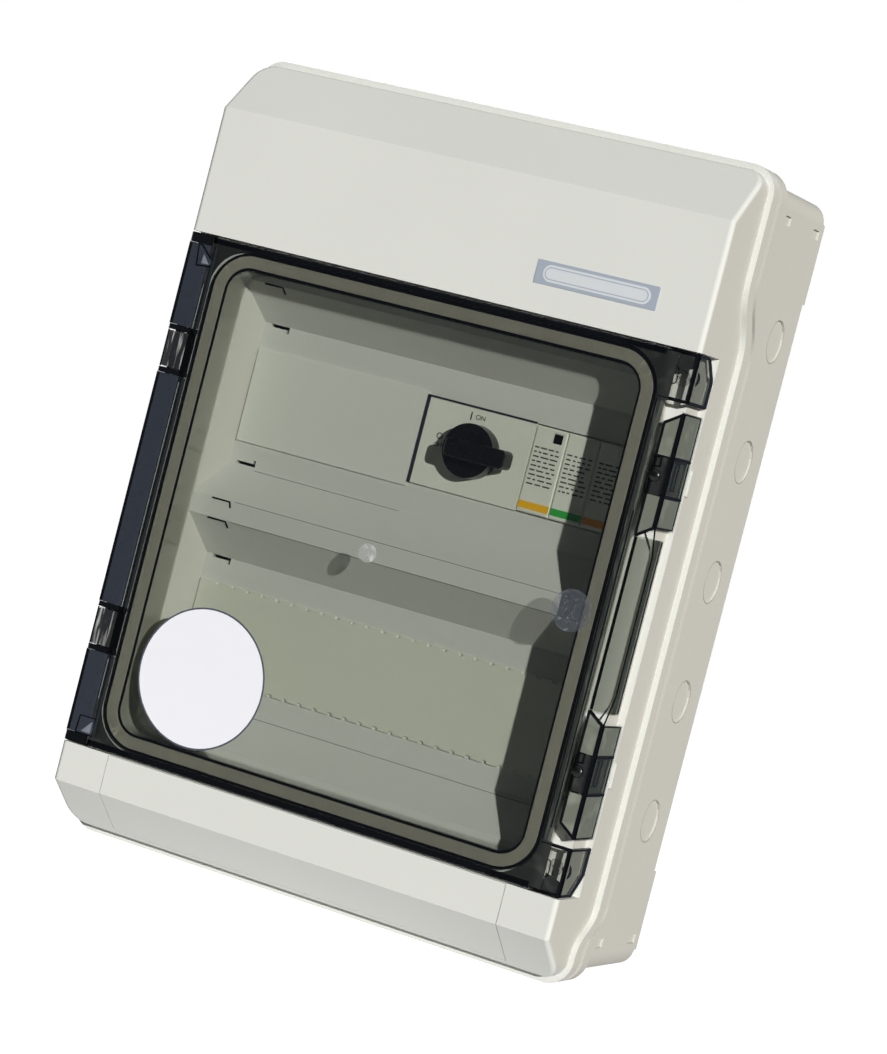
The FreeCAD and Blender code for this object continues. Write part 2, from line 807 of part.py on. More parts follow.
def add_door_seat(cover):
    """The sunken place that the door closes into, and the tray inside it."""
    top, bottom = door_top + S.door_gap, door_bottom - S.door_gap
    seat_back, rebate_back = S.seat_depth + S.wall, S.rebate_depth + S.wall
    inner = half_cover - S.wall
    pad_forward(cover, seat_back, S.wall, rect(-inner, bottom - S.wall, inner, top + S.wall))
    rebates = [(rebate_inner - S.wall, inner), (-inner, S.wall - rebate_inner)]
    pad_forward(cover, rebate_back, seat_back,
                *[rect(left, bottom - S.wall, right, top + S.wall) for left, right in rebates])
    pad_forward(cover, S.side_recess_depth + S.wall, S.rebate_depth,
                rect(recess_x - S.wall, bottom - S.wall, inner, top + S.wall))
    edge = half_cover + past
    cut_back(cover, 0, S.seat_depth, rect(-edge, bottom, edge, top))
    cut_back(cover, S.seat_depth, S.rebate_depth, rect(rebate_inner, bottom, edge, top),
             rect(-edge, bottom, -rebate_inner, top))
    cut_back(cover, S.rebate_depth, S.side_recess_depth, rect(recess_x, bottom, edge, top))
    cut_back(cover, S.seat_depth, S.tray_lip_depth,
             rounded(-tray_half, tray_bottom, tray_half, tray_top, S.tray_corner))
    lines = row_outline(0)
    lip = S.tray_lip_depth - past
    cut_left(cover, tray_half, -tray_half, side([(lip, lines[0][1])] + lines + [(lip, lines[-1][1])]))
    add_wedges(cover)
    rise = S.cutout_height / 2
    cut_back(cover, S.tray_depth, S.tray_depth + S.wall + past,
             *[rect(-half_cutout, z - rise, half_cutout, z + rise) for z in (upper_row, lower_row)])
    add_clip_slots(cover)
    catch = (S.catch_front_depth, S.catch_front_depth + S.catch_thick)
    for sign in (1, -1):
        middle = door_z + sign * hinge_rise
        low, high = middle - S.catch_height / 2, middle + S.catch_height / 2
        pad_right(cover, inner, half_cover + S.catch_proud,
                  side([(catch[0], low), (catch[1], low), (catch[1], high), (catch[0], high)]))


def add_wedges(cover):
    """Sloped side walls of the two rows."""
    reach, foot = S.row_flat / 2 + row_slope, half_cutout + S.cutout_rim
    buried = S.wall / 2
    for middle in row_middles:
        for sign in (1, -1):
            pad_up(cover, middle - reach, middle + reach,
                   plan([(sign * tray_half, S.wedge_depth), (sign * foot, S.tray_depth),
                         (sign * foot, S.tray_depth + buried),
                         (sign * (tray_half + buried), S.tray_depth + buried),
                         (sign * (tray_half + buried), S.wedge_depth)]))


def add_clip_slots(cover):
    """Slots beside each row's upper and lower edge, where the strips' clips can be reached."""
    right, slit = S.clip_slot_end - half_cutout, S.clip_slot_slit
    left = right - S.clip_slot_width
    slots = []
    for row in row_middles:
        for sign in (1, -1):
            edge = row + sign * S.row_flat / 2
            inner, end = edge - sign * slit, edge - sign * S.clip_slot_leg
            slots.append(poly([(left, edge), (right, edge), (right, end), (right - slit, end),
                               (right - slit, inner), (left, inner)]))
    cut_back(cover, S.tray_depth, S.tray_depth + S.wall + past, *slots)


def add_cover_bosses(cover):
    pad_forward(cover, flange_front, S.rebate_depth + S.wall,
                *[square(x, z, S.cover_post_half) for x, z in cover_screws])
    cut_back(cover, S.rebate_depth, S.rebate_depth + S.cover_head_thick + S.hole_gap,
             *[small_round(x, z, S.cover_head_radius + S.hole_gap) for x, z in cover_screws])
    cut_back(cover, S.rebate_depth, flange_front + past,
             *[shank_hole(x, z, S.cover_screw_radius + S.hole_gap) for x, z in cover_screws])


def flap_outline(gap):
    """The terminal cover's section: a plate bent over the cover's lower bevel."""
    slope = S.bevel_bottom / S.bevel_depth
    top = door_bottom - S.door_gap - gap
    reach = S.flap_reach - gap
    inside = S.flap_thick - gap
    front = [(0, top), (0, face_bottom), (reach, face_bottom - slope * reach)]
    back = [(reach + inside / 2, face_bottom - slope * (reach - inside / 2) + inside),
            (inside, face_bottom + inside * mitre), (inside, top)]
    return front + back


def make_terminal_cover():
    flap = body("terminal_cover")
    half = flap_half - S.flap_gap
    pad_right(flap, -half, half, side(flap_outline(S.flap_gap)))


# Door

def make_door():
    door = body("door")
    crest = S.strip_crest
    strip = [(-half_door, crest), (crest - half_door, 0), (-strip_inner, 0),
             (-strip_inner + S.groove_cut, S.groove_cut),
             (-strip_inner + S.groove_width, S.groove_cut), (-half_pane, -S.pane_proud)]
    edge = [(half_pane, -S.pane_proud), (strip_inner - S.groove_cut, S.groove_cut),
            (strip_inner, S.groove_cut + S.edge_drop), (strip_inner, S.strip_skirt_depth),
            (strip_inner - S.skirt_thick, S.strip_skirt_depth),
            (strip_inner - S.skirt_thick, pane_back + S.edge_drop), (half_pane, pane_back)]
    inside = [(-half_pane, pane_back), (-strip_inner + S.groove_width, S.strip_thick + S.groove_cut),
              (S.skirt_thick - half_door, S.strip_thick + S.groove_cut),
              (S.skirt_thick - half_door, S.strip_skirt_depth), (-half_door, S.strip_skirt_depth)]
    pad_up(door, door_bottom, door_top, plan(strip + edge + inside))
    dress(door, "Chamfer", S.pane_proud / 2,
          lambda box: near(box.YMin, at(-S.pane_proud)) and box.ZLength < 0.01
          and (near(box.ZMin, door_top) or near(box.ZMin, door_bottom)))
    add_gasket_ribs(door)
    add_corner_pieces(door)
    add_hinge_side(door)
    add_latch_side(door)


def add_latch_side(door):
    """The two bored knuckles that carry the latch bar."""
    half, web = S.latch_knuckle_length / 2, S.latch_web / 2
    start = strip_inner - S.skirt_thick / 2
    for sign in (1, -1):
        middle = door_z + sign * hinge_rise
        pad_up(door, middle - half, middle + half,
               small_round(latch_x, at(S.latch_depth), S.latch_knuckle_radius))
        pad_up(door, middle - half, middle + half,
               plan([(start, S.latch_depth - web), (latch_x, S.latch_depth - web),
                     (latch_x, S.latch_depth + web), (start, S.latch_depth + web)]))
        cut_down(door, middle + half + past, middle - half - past,
                 small_round(latch_x, at(S.latch_depth), S.pin_radius + S.pin_gap))


def about_door(half_width, rise, radius):
    return rounded(-half_width, door_z - rise, half_width, door_z + rise, radius)


def add_gasket_ribs(door):
    """The rib outside the door seal and the deep skirt inside it."""
    rib, thick = S.gasket_rib, S.skirt_thick
    pad_forward(door, S.seat_depth - S.gasket_gap, pane_back / 2,
                about_door(half_gasket + rib, gasket_rise + rib, S.gasket_radius + rib),
                about_door(half_gasket, gasket_rise, S.gasket_radius))
    radius = S.gasket_radius - S.gasket_band
    pad_forward(door, S.skirt_depth, pane_back / 2,
                about_door(skirt_outer, skirt_rise, radius),
                about_door(skirt_outer - thick, skirt_rise - thick, radius - thick))


def add_corner_pieces(door):
    """The door's two right corners, which reach round the side of the cover."""
    thick = S.corner_thick
    for sign, end in ((1, door_top), (-1, door_bottom)):
        inner = end - sign * S.corner_height
        low, high = (inner, end) if sign > 0 else (end, inner)
        pad_up(door, low, high,
               plan([(strip_inner - thick, S.groove_cut), (half_door - S.strip_crest, 0),
                     (half_door, S.strip_crest),
                     (half_door, S.corner_depth), (half_door - thick, S.corner_depth),
                     (half_door - thick, thick), (strip_inner - thick, thick)]))
        front, back = S.corner_depth - S.corner_cut, S.corner_depth + past
        cut_end, beyond = end - sign * S.corner_cut, end + sign * past
        cut_left(door, half_door + past, half_door - thick - past,
                 side([(front, end), (S.corner_depth, cut_end), (back, cut_end),
                       (back, beyond), (front, beyond)]))


def add_hinge_side(door):
    """Notches for the hinge clips and a bored knuckle at each end of them."""
    axis = (-hinge_x, at(S.hinge_depth))
    half = S.hinge_notch / 2
    for sign in (1, -1):
        middle = door_z + sign * hinge_rise
        for low, high in ((middle - half - S.knuckle_length, middle - half),
                          (middle + half, middle + half + S.knuckle_length)):
            pad_up(door, low, high, large_round(*axis, S.barrel_radius - S.hinge_gap))
        cut_back(door, -S.pane_proud - past, S.hinge_depth + S.barrel_radius + past,
                 rect(-half_door - past, middle - half, S.hinge_notch_overlap - half_pane, middle + half))
        cut_down(door, middle + half + S.knuckle_length + past, middle - half - S.knuckle_length - past,
                 small_round(*axis, S.pin_radius + S.pin_gap))


def make_door_seal():
    seal = body("door_seal")
    slack = S.gasket_slack
    pad_forward(seal, S.seat_depth - S.gasket_gap, pane_back,
                about_door(half_gasket - slack, gasket_rise - slack, S.gasket_radius - slack),
                about_door(skirt_outer + slack, skirt_rise + slack,
                           S.gasket_radius - S.gasket_band + slack))


def make_hinge_clips():
    half, radius = S.hinge_notch / 2 - S.hinge_gap, S.barrel_radius
    left = -hinge_x - radius + S.strip_crest
    for label, sign in (("hinge_clip_upper", 1), ("hinge_clip_lower", -1)):
        clip = body(label)
        middle = door_z + sign * hinge_rise
        pad_up(clip, middle - half, middle + half, large_round(-hinge_x, at(S.hinge_depth), radius))
        pad_up(clip, middle - half, middle + half,
               plan([(left, S.hinge_depth), (radius - hinge_x, S.hinge_depth),
                     (radius - hinge_x + S.clip_lean, S.rebate_depth), (left, S.rebate_depth)]))
        cut_down(clip, middle + half + past, middle - half - past,
                 small_round(-hinge_x, at(S.hinge_depth), S.pin_radius + S.pin_gap))


def pin_pair(label, x, depth, half_length):
    """Two upright pins, one at each hinge height."""
    solids = []
    for sign in (1, -1):
        pin = doc.addObject("Part::Cylinder", "Pin")
        for field, size in (("Radius", S.pin_radius), ("Height", 2 * half_length),
                            (".Placement.Base.x", x), (".Placement.Base.y", at(depth)),
                            (".Placement.Base.z", door_z + sign * hinge_rise - half_length)):
            pin.setExpression(field, as_size(size).text)
        solids.append(pin)
    grouped(label, solids)


# Latch bar

def make_latch_bar():
    bar = body("latch_bar")
    thick = S.latch_thick
    left, right = strip_inner + S.latch_gap, half_door - S.grip_inset
    pad_up(bar, door_z - S.grip_half, door_z + S.grip_half,
           plan([(left, S.grip_front), (right, S.grip_drop), (right, S.grip_skirt_depth),
                 (right - thick, S.grip_skirt_depth), (right - thick, S.grip_drop),
                 (left, S.grip_front + thick * slant)]))
    for sign in (1, -1):
        end = door_z + sign * (door_rise - S.latch_end)
        inner = end - sign * S.latch_length
        shear = sign * S.latch_shear
        pad_forward(bar, thick, 0, poly([(left, end - shear), (half_door, end),
                                         (half_door, inner), (left, inner - shear)]))
        low, high = (inner, end) if sign > 0 else (end, inner)
        pad_right(bar, half_door - thick, half_door,
                  side([(0, low), (S.latch_skirt_depth, low), (S.latch_skirt_depth, high), (0, high)]))
        add_latch_ears(bar, door_z + sign * hinge_rise, left)
    dress(bar, "Chamfer", S.latch_bevel,
          lambda box: near(box.XMin, half_door) and near(box.YMax, at(0)) and box.ZLength > 5)


def add_latch_ears(bar, middle, left):
    """The window round the door's knuckle, and the bored ears beside it."""
    window, web = S.latch_window / 2, S.latch_web / 2
    reach = window + S.latch_knuckle_length / 4
    axis = (latch_x, at(S.latch_depth))
    right = half_door - S.latch_thick / 2
    cut_back(bar, -past, S.latch_depth + S.latch_knuckle_radius + past,
             rect(left - past, middle - window, half_door - S.latch_window_inset, middle + window))
    for low, high in ((middle - reach, middle - window), (middle + window, middle + reach)):
        pad_up(bar, low, high, small_round(*axis, S.latch_knuckle_radius))
        pad_up(bar, low, high, plan([(latch_x, S.latch_depth - web), (right, S.latch_depth - web),
                                     (right, S.latch_depth + web), (latch_x, S.latch_depth + web)]))
        cut_down(bar, high + past, low - past, small_round(*axis, S.pin_radius + S.pin_gap))


# Rails, carriers and strips

def make_carrier(label, sign):
    carrier = body(label)
    half = S.carrier_width / 2
    top, bottom = pedestals[0][1] + S.carrier_overrun, pedestals[1][1] - S.carrier_overrun
    middle = sign * carrier_x
    outer = middle + sign * half
    pad_forward(carrier, carrier_back, carrier_front, rect(middle - half, bottom, middle + half, top))
    left, right = (outer - S.carrier_thick, outer) if sign > 0 else (outer, outer + S.carrier_thick)
    front = carrier_back - S.carrier_flange
    pad_right(carrier, left, right,
              side([(carrier_back, bottom), (carrier_back, top), (front, top), (front, bottom)]))
    holes = [(x, z) for x, z in pedestals + rail_screws if x.value * sign > 0]
    cut_back(carrier, carrier_front, carrier_back,
             *[shank_hole(x, z, S.small_screw_radius + S.hole_gap) for x, z in holes])
    rise = S.rail_height / 2 + S.carrier_notch_gap
    for row_z in (upper_row, lower_row):
        cut_left(carrier, right, left,
                 side([(front - past, row_z - rise), (carrier_front, row_z - rise),
                       (carrier_front, row_z + rise), (front - past, row_z + rise)]))


def make_rail(label, row_z):
    rail = body(label)
    brim, crown, thick = S.rail_height / 2, S.rail_crown / 2, S.rail_thick
    front, back = S.rail_front, carrier_front
    upper = [(front, row_z + brim), (front, row_z + crown - thick), (back - thick, row_z + crown - thick)]
    lower = [(back - thick, row_z - crown + thick), (front, row_z - crown + thick), (front, row_z - brim)]
    outer = [(front + thick, row_z - brim), (front + thick, row_z - crown), (back, row_z - crown),
             (back, row_z + crown), (front + thick, row_z + crown), (front + thick, row_z + brim)]
    half = carrier_x + S.rail_overrun
    pad_right(rail, -half, half, side(upper + lower + outer))
    cut_back(rail, back - thick, back,
             *[shank_hole(x, row_z, S.small_screw_radius + S.hole_gap) for x in (-carrier_x, carrier_x)])


def make_strip(label, row_z, right):
    """A blanking strip that laps over the cut-out's edges and reaches into it with two ribs."""
    strip = body(label)
    rise = S.cutout_height / 2 + S.strip_lap_end
    front = S.tray_depth - S.strip_plate
    pad_forward(strip, S.tray_depth, front,
                rect(-half_cutout - S.strip_lap, row_z - rise, right, row_z + rise))
    inside = S.cutout_height / 2 - S.flap_gap
    start, end = S.flap_gap - half_cutout, right - S.strip_lap - S.flap_gap
    for low, high in ((row_z - inside, row_z - inside + S.strip_rib),
                      (row_z + inside - S.strip_rib, row_z + inside)):
        pad_forward(strip, S.tray_depth + S.strip_rib_depth, front, rect(start, low, end, high))
    return strip


def add_notches(strip, row_z):
    """A notch for each half module along both edges, where the strip is snapped off."""
    rise, front = S.cutout_height / 2 + S.strip_lap_end, S.tray_depth - S.strip_plate
    pitch, half = S.module_width / 2, S.notch_width / 2
    first = pitch * (1 - S.module_count)
    notch = cut_back(strip, front, S.tray_depth,
                     rect(first - half, row_z - rise - past, first + half, row_z - rise + S.notch_height),
                     rect(first - half, row_z + rise - S.notch_height, first + half, row_z + rise + past))
    row_of(strip, notch, pitch, 2 * S.module_count - 1)


# Devices

def device_outline(row_z, nose):
    """A rail device seen from the side, with or without the nose that fills the cut-out."""
    top, bottom = row_z + S.device_height / 2, row_z - S.device_height / 2
    brim = S.rail_height / 2 + S.rail_slot_gap
    hook = brim - S.foot_hook
    rail_line = S.rail_front - S.rail_slot_gap
    lip = S.rail_front + S.rail_thick + S.rail_slot_gap
    front = [(shoulder_depth, top)]
    if nose:
        rise, tip = S.nose_height / 2, S.plate_front + S.plate_thick
        front += [(shoulder_depth, row_z + rise), (tip, row_z + rise), (tip, row_z - rise),
                  (shoulder_depth, row_z - rise)]
    back = [(shoulder_depth, bottom), (rail_line, bottom), (S.foot_depth, bottom + S.foot_taper),
            (S.foot_depth, row_z - hook), (lip, row_z - hook), (lip, row_z - brim),
            (rail_line, row_z - brim), (rail_line, row_z + brim), (lip, row_z + brim), (lip, row_z + hook),
            (S.foot_depth, row_z + hook), (S.foot_depth, top - S.foot_taper), (rail_line, top)]
    return side(front + back)


def terminal_entries(owner, middles):
    """Square entries for wires above and below the nose."""
    half = S.terminal_size / 2
    cut_back(owner, shoulder_depth, shoulder_depth + S.terminal_cut,
             *[rect(x - half, z - half, x + half, z + half) for x in middles
               for z in (upper_row + S.terminal_rise, upper_row - S.terminal_rise)])


def make_switch():
    left, right, nose = switch_left, switch_right, S.plate_front + S.plate_thick
    switch = body("switch_body")
    pad_right(switch, left + S.device_gap, right - S.device_gap, device_outline(upper_row, nose=True))
    terminal_entries(switch, [(left + right) / 2 + step * S.terminal_pitch
                              for step in (-1.5, -0.5, 0.5, 1.5)])
    axis = (switch_right - S.knob_inset, upper_row + S.knob_rise)
    shaft_hole = small_round(*axis, S.shaft_half * slant + S.shaft_gap)
    cut_back(switch, nose, S.shaft_end + past, shaft_hole)

    plate = body("switch_plate")
    rise = S.plate_height / 2
    pad_forward(plate, nose, S.plate_front,
                rect(left, upper_row - rise, right, upper_row + rise), shaft_hole)

    shaft = body("switch_shaft")
    pad_forward(shaft, S.shaft_end, S.knob_disc_front + S.shaft_inset, square(*axis, S.shaft_half))
    make_knob(*axis)


def make_knob(x, z):
    knob = body("switch_knob")
    pad_forward(knob, S.plate_front - S.knob_gap, S.knob_disc_front, disc(x, z, S.knob_radius))
    half = S.knob_bar_height / 2
    pad_forward(knob, S.knob_disc_front + past, S.knob_bar_front,
                rounded(x - S.knob_tail, z - half, x + S.knob_nose, z + half, S.knob_bar_radius))
    dress(knob, "Chamfer", S.knob_bar_edge,
          lambda box: near(box.YMin, at(S.knob_bar_front)) and box.YLength < 0.01)
    tip = x - S.knob_tail + S.knob_arrow_inset
    root, half = tip + S.knob_arrow, S.knob_arrow / 2
    cut_back(knob, S.knob_bar_front, S.knob_bar_front + S.knob_arrow_cut,
             poly([(tip, z), (root, z - half), (root, z + half)]))
    cut_back(knob, S.knob_disc_front + S.shaft_inset, S.plate_front, square(x, z, S.shaft_half))


def make_surge_arrester():
    """A base on the rail with one plug-in cartridge for each pole."""
    poles = range(int(S.pole_count.value))
    left = switch_right + 2 * S.device_gap
    right = left + S.pole_count * S.module_width
    base = body("surge_base")
    pad_right(base, left, right, device_outline(upper_row, nose=False))
    rise = S.cartridge_height / 2
    slot = rise + S.device_gap
    cut_back(base, shoulder_depth, S.cartridge_back + S.device_gap,
             rect(left - past, upper_row - slot, right + past, upper_row + slot))
    terminal_entries(base, [left + (pole + 0.5) * S.module_width for pole in poles])
    for pole in poles:
        cartridge = body(f"surge_cartridge_{pole + 1}")
        start = left + pole * S.module_width + S.device_gap
        end = start + S.module_width - 2 * S.device_gap
        pad_forward(cartridge, S.cartridge_back, S.cartridge_front,
                    rect(start, upper_row - rise, end, upper_row + rise))
        dress(cartridge, "Chamfer", S.cartridge_edge,
              lambda box: near(box.YMin, at(S.cartridge_front)) and box.YLength < 0.01)
        window_left = (start + end - S.window_size) / 2 + S.window_shift
        window_top = upper_row + rise - S.window_drop
        cut_back(cartridge, S.cartridge_front, S.cartridge_front + S.window_cut,
                 rect(window_left, window_top - S.window_size, window_left + S.window_size, window_top))


def make_bars():
    """Earth and neutral bars on their holder below the rails."""
    middle, back = S.bar_inset - base_rise, S.bar_front + S.bar_section
    half, lip = S.bar_section / 2, S.holder_lip
    low, high = middle - half, middle + half
    holder = body("bar_holder")
    width = S.holder_width
    for x in [sign * (S.bar_offset + step * (S.bar_length - width) / 2)
              for sign in (1, -1) for step in (1, -1)]:
        pad_forward(holder, floor_depth, back, rect(x - width / 2, low - lip, x + width / 2, high + lip))
        for jaw_low, jaw_high in ((low - lip, low - S.holder_gap), (high + S.holder_gap, high + lip)):
            pad_forward(holder, back, back - half, rect(x - width / 2, jaw_low, x + width / 2, jaw_high))
    span = S.bar_offset + S.bar_length / 2
    pad_forward(holder, floor_depth, floor_depth - lip, rect(-span, low - lip, span, high + lip))
    for label, sign in (("earth_bar", -1), ("neutral_bar", 1)):
        bar = body(label)
        left = sign * S.bar_offset - S.bar_length / 2
        pad_right(bar, left, left + S.bar_length,
                  side([(back, low), (back, high), (S.bar_front, high), (S.bar_front, low)]))
        first = sign * S.bar_offset - S.bar_entry_pitch * (S.bar_entry_count - 1) / 2
        entry = S.bar_entry / 2
        hole = cut_back(bar, S.bar_front, S.bar_front + half,
                        rect(first - entry, middle - entry, first + entry, middle + entry))
        row_of(bar, hole, S.bar_entry_pitch, S.bar_entry_count)


# The whole box

make_base_shell()
make_body_seal()
make_front_cover()
make_terminal_cover()
screw_group("cover_screws", cover_screws, S.rebate_depth, S.cover_head_radius, S.cover_head_thick,
            S.cover_screw_radius, S.cover_screw_length, slotted=True)
make_door()
make_door_seal()
make_hinge_clips()
pin_pair("hinge_pins", -hinge_x, S.hinge_depth, S.hinge_notch / 2 + S.knuckle_length)
make_latch_bar()
pin_pair("latch_pins", latch_x, S.latch_depth, S.latch_window / 2 + S.latch_knuckle_length / 4)
make_carrier("rail_carrier_left", -1)
make_carrier("rail_carrier_right", 1)
screw_group("carrier_screws", pedestals, carrier_front - S.small_head_thick, S.small_head_radius,
            S.small_head_thick, S.small_screw_radius, S.small_screw_length)
make_rail("mounting_rail_upper", upper_row)
make_rail("mounting_rail_lower", lower_row)
screw_group("rail_screws", rail_screws, carrier_front - S.rail_thick - S.small_head_thick,
            S.small_head_radius, S.small_head_thick, S.small_screw_radius, S.small_screw_length)
make_strip("blanking_strip_upper", upper_row, switch_left - S.strip_split_gap)
lower_strip = make_strip("blanking_strip_lower", lower_row, half_cutout + S.strip_lap)
add_notches(lower_strip, lower_row)
make_switch()
make_surge_arrester()
make_bars()

doc.recompute()
for item in doc.Objects:
    if {"Invalid", "Error"} & set(item.State):
        raise RuntimeError(f"{item.Label} failed: {item.State}")
    if item.TypeId == "PartDesign::Pocket":
        removed = item.BaseFeature.Shape.Volume - item.Shape.Volume
        if removed < 0.01:
            raise RuntimeError(f"{item.Label} cuts nothing")
for item in pieces:
    if item.Shape.isNull() or not item.Shape.isValid():
        raise RuntimeError(f"{item.Label} has no valid shape")
os.makedirs("parts", exist_ok=True)
for item in pieces:
    item.Shape.exportStep(f"parts/{item.Label}.step")
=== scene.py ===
import json
import math
import random

import bmesh
import bpy
from mathutils import Matrix, Vector


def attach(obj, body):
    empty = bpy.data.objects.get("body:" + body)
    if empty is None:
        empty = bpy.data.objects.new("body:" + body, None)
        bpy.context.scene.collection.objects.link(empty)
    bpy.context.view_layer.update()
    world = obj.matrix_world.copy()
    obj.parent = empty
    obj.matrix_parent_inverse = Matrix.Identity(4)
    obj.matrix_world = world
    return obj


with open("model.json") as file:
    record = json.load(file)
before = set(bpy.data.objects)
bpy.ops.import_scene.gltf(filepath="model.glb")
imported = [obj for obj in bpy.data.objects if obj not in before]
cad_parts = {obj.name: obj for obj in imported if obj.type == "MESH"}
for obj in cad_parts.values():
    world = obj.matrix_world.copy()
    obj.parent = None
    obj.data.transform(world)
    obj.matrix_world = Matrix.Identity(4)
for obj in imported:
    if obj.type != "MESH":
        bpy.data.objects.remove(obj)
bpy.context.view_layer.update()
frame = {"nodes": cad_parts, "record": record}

# View of the photograph: the camera's place in metres, its direction and its roll in degrees
CAMERA_PLACE = (0.6952, -1.6201, 0.0633)
VIEW_AZIMUTH = 23.91
VIEW_ELEVATION = 2.32
VIEW_ROLL = 14.45
LENS = 111.8
SENSOR = 36.0

# Direction in which the sun's light travels, read from two shadows in the photograph
SUN_TRAVEL = (-0.93, 1.0, -0.37)
SUN_STRENGTH = 4.35
SUN_ANGLE = 0.9
# A second sun from behind lights the back and the left side, which the photograph doesn't show
REAR_TRAVEL = (0.55, -1.0, -0.12)
REAR_STRENGTH = 2.2
REAR_ANGLE = 12.0
# A lamp under the box stands in for the light that a sunlit floor throws up
BOUNCE_WATTS = 1.1
BOUNCE_SIZE = (0.28, 0.34)
FILL_STRENGTH = 0.03
FLOOR_HEIGHT = -0.62
FLOOR_REACH = 6.0
FLAG_RADIUS = 2.6
FLAG_HEIGHTS = (-2.2, 2.6)
FLAG_STEPS = 60

# Places on the box in millimetres: x, depth behind the cover's front face, and z
MM = 0.001
FRONT = -0.1325
PANE_FRONT = -1.7
DOOR_MIDDLE = -25.6
DOOR_RISE = 136.4
DOOR_TOP = DOOR_MIDDLE + DOOR_RISE
DOOR_BOTTOM = DOOR_MIDDLE - DOOR_RISE
DOOR_EDGE = 143.9
HINGE_HEIGHTS = (48.9, -100.1)
CLIP_HALF = 10.7
STRIP_GAP = 13.0
KNOCKOUT_HEIGHTS = (-124.7, -61.2, 2.3, 65.8, 129.3)
KNOCKOUT_DEPTH = 102.4
KNOCKOUT_RADIUS = 11.3
PLATE_FACE = 39.2
CARTRIDGE_FACE = 39.4

# The left strip's stretches above, between and below the hinge clips
STRETCHES = [(HINGE_HEIGHTS[0] + STRIP_GAP, DOOR_TOP - 5.4),
             (HINGE_HEIGHTS[1] + STRIP_GAP, HINGE_HEIGHTS[0] - STRIP_GAP),
             (DOOR_BOTTOM + 5.4, HINGE_HEIGHTS[1] - STRIP_GAP)]

# A latch's outer and inner end, ribs and boss, as distances from the door's middle
LATCH_OUTER = 106.4
LATCH_INNER = 50.1
LATCH_RIBS = (84.4, 65.4)
LATCH_BOSS = 74.5
# How far a latch's ends slope across its front, and how deep its side reaches
LATCH_SLOPE = 6.0
LATCH_BACK = 24.7

# Section of the dark line of painted shade along the crest between the front and the right side
CREST = [(142.5, 0.25), (143.1, 0.25), (144.25, 1.5), (144.25, 2.3), (143.5, 2.3), (142.5, 1.2)]


def place(x, depth, z):
    return Vector((x * MM, FRONT + depth * MM, z * MM))


# Nodes and materials

def add(tree, kind, inputs=None, **fields):
    """A new node; inputs are numbers, colours or the sockets they come from, by name or number."""
    item = tree.nodes.new(kind)
    for name, value in fields.items():
        setattr(item, name, value)
    for name, value in (inputs or {}).items():
        if isinstance(value, bpy.types.NodeSocket):
            tree.links.new(value, item.inputs[name])
        else:
            item.inputs[name].default_value = value
    return item


def new_material(name):
    material = bpy.data.materials.new(name)
    material.use_nodes = True
    tree = material.node_tree
    tree.nodes.clear()
    output = tree.nodes.new("ShaderNodeOutputMaterial")
    return material, tree, output


def noise(tree, scale, detail=3.0, rough=0.5, vector=None):
    if vector is None:
        vector = add(tree, "ShaderNodeTexCoord").outputs["Object"]
    return add(tree, "ShaderNodeTexNoise", {"Vector": vector, "Scale": scale, "Detail": detail,
                                            "Roughness": rough}).outputs["Fac"]


def between(tree, factor, low, high, low_from=0.3, high_from=0.7):
    """Maps a factor from the range low_from to high_from to the range low to high."""
    return add(tree, "ShaderNodeMapRange",
               {"Value": factor, "From Min": low_from, "From Max": high_from, "To Min": low,
                "To Max": high}).outputs["Result"]


def math_node(tree, operation, *values):
    return add(tree, "ShaderNodeMath", dict(enumerate(values)), operation=operation).outputs[0]


def mix_shaders(tree, factor, first, second):
    """The first shader where the factor is 0, and the second where it is 1."""
    return add(tree, "ShaderNodeMixShader",
               {"Fac": factor, 1: first.outputs[0], 2: second.outputs[0]}).outputs["Shader"]


def blend_colours(tree, factor, first, second):
    item = add(tree, "ShaderNodeMix", {"Factor": factor}, data_type="RGBA")
    for name, value in (("A", first), ("B", second)):
        for socket in item.inputs:
            if socket.name == name and socket.type == "RGBA":
                if isinstance(value, bpy.types.NodeSocket):
                    tree.links.new(value, socket)
                else:
                    socket.default_value = (*value, 1)
    return [socket for socket in item.outputs if socket.type == "RGBA"][0]


def scaled(colour, *factors):
    """A colour times one factor, or times one for each channel."""
    return tuple(channel * factors[min(step, len(factors) - 1)]
                 for step, channel in enumerate(colour))


def screen(red, green, blue):
    """The linear colour of a colour given as it shows on screen, each channel up to 255."""
    return tuple(((channel / 255 + 0.055) / 1.055) ** 2.4 for channel in (red, green, blue))


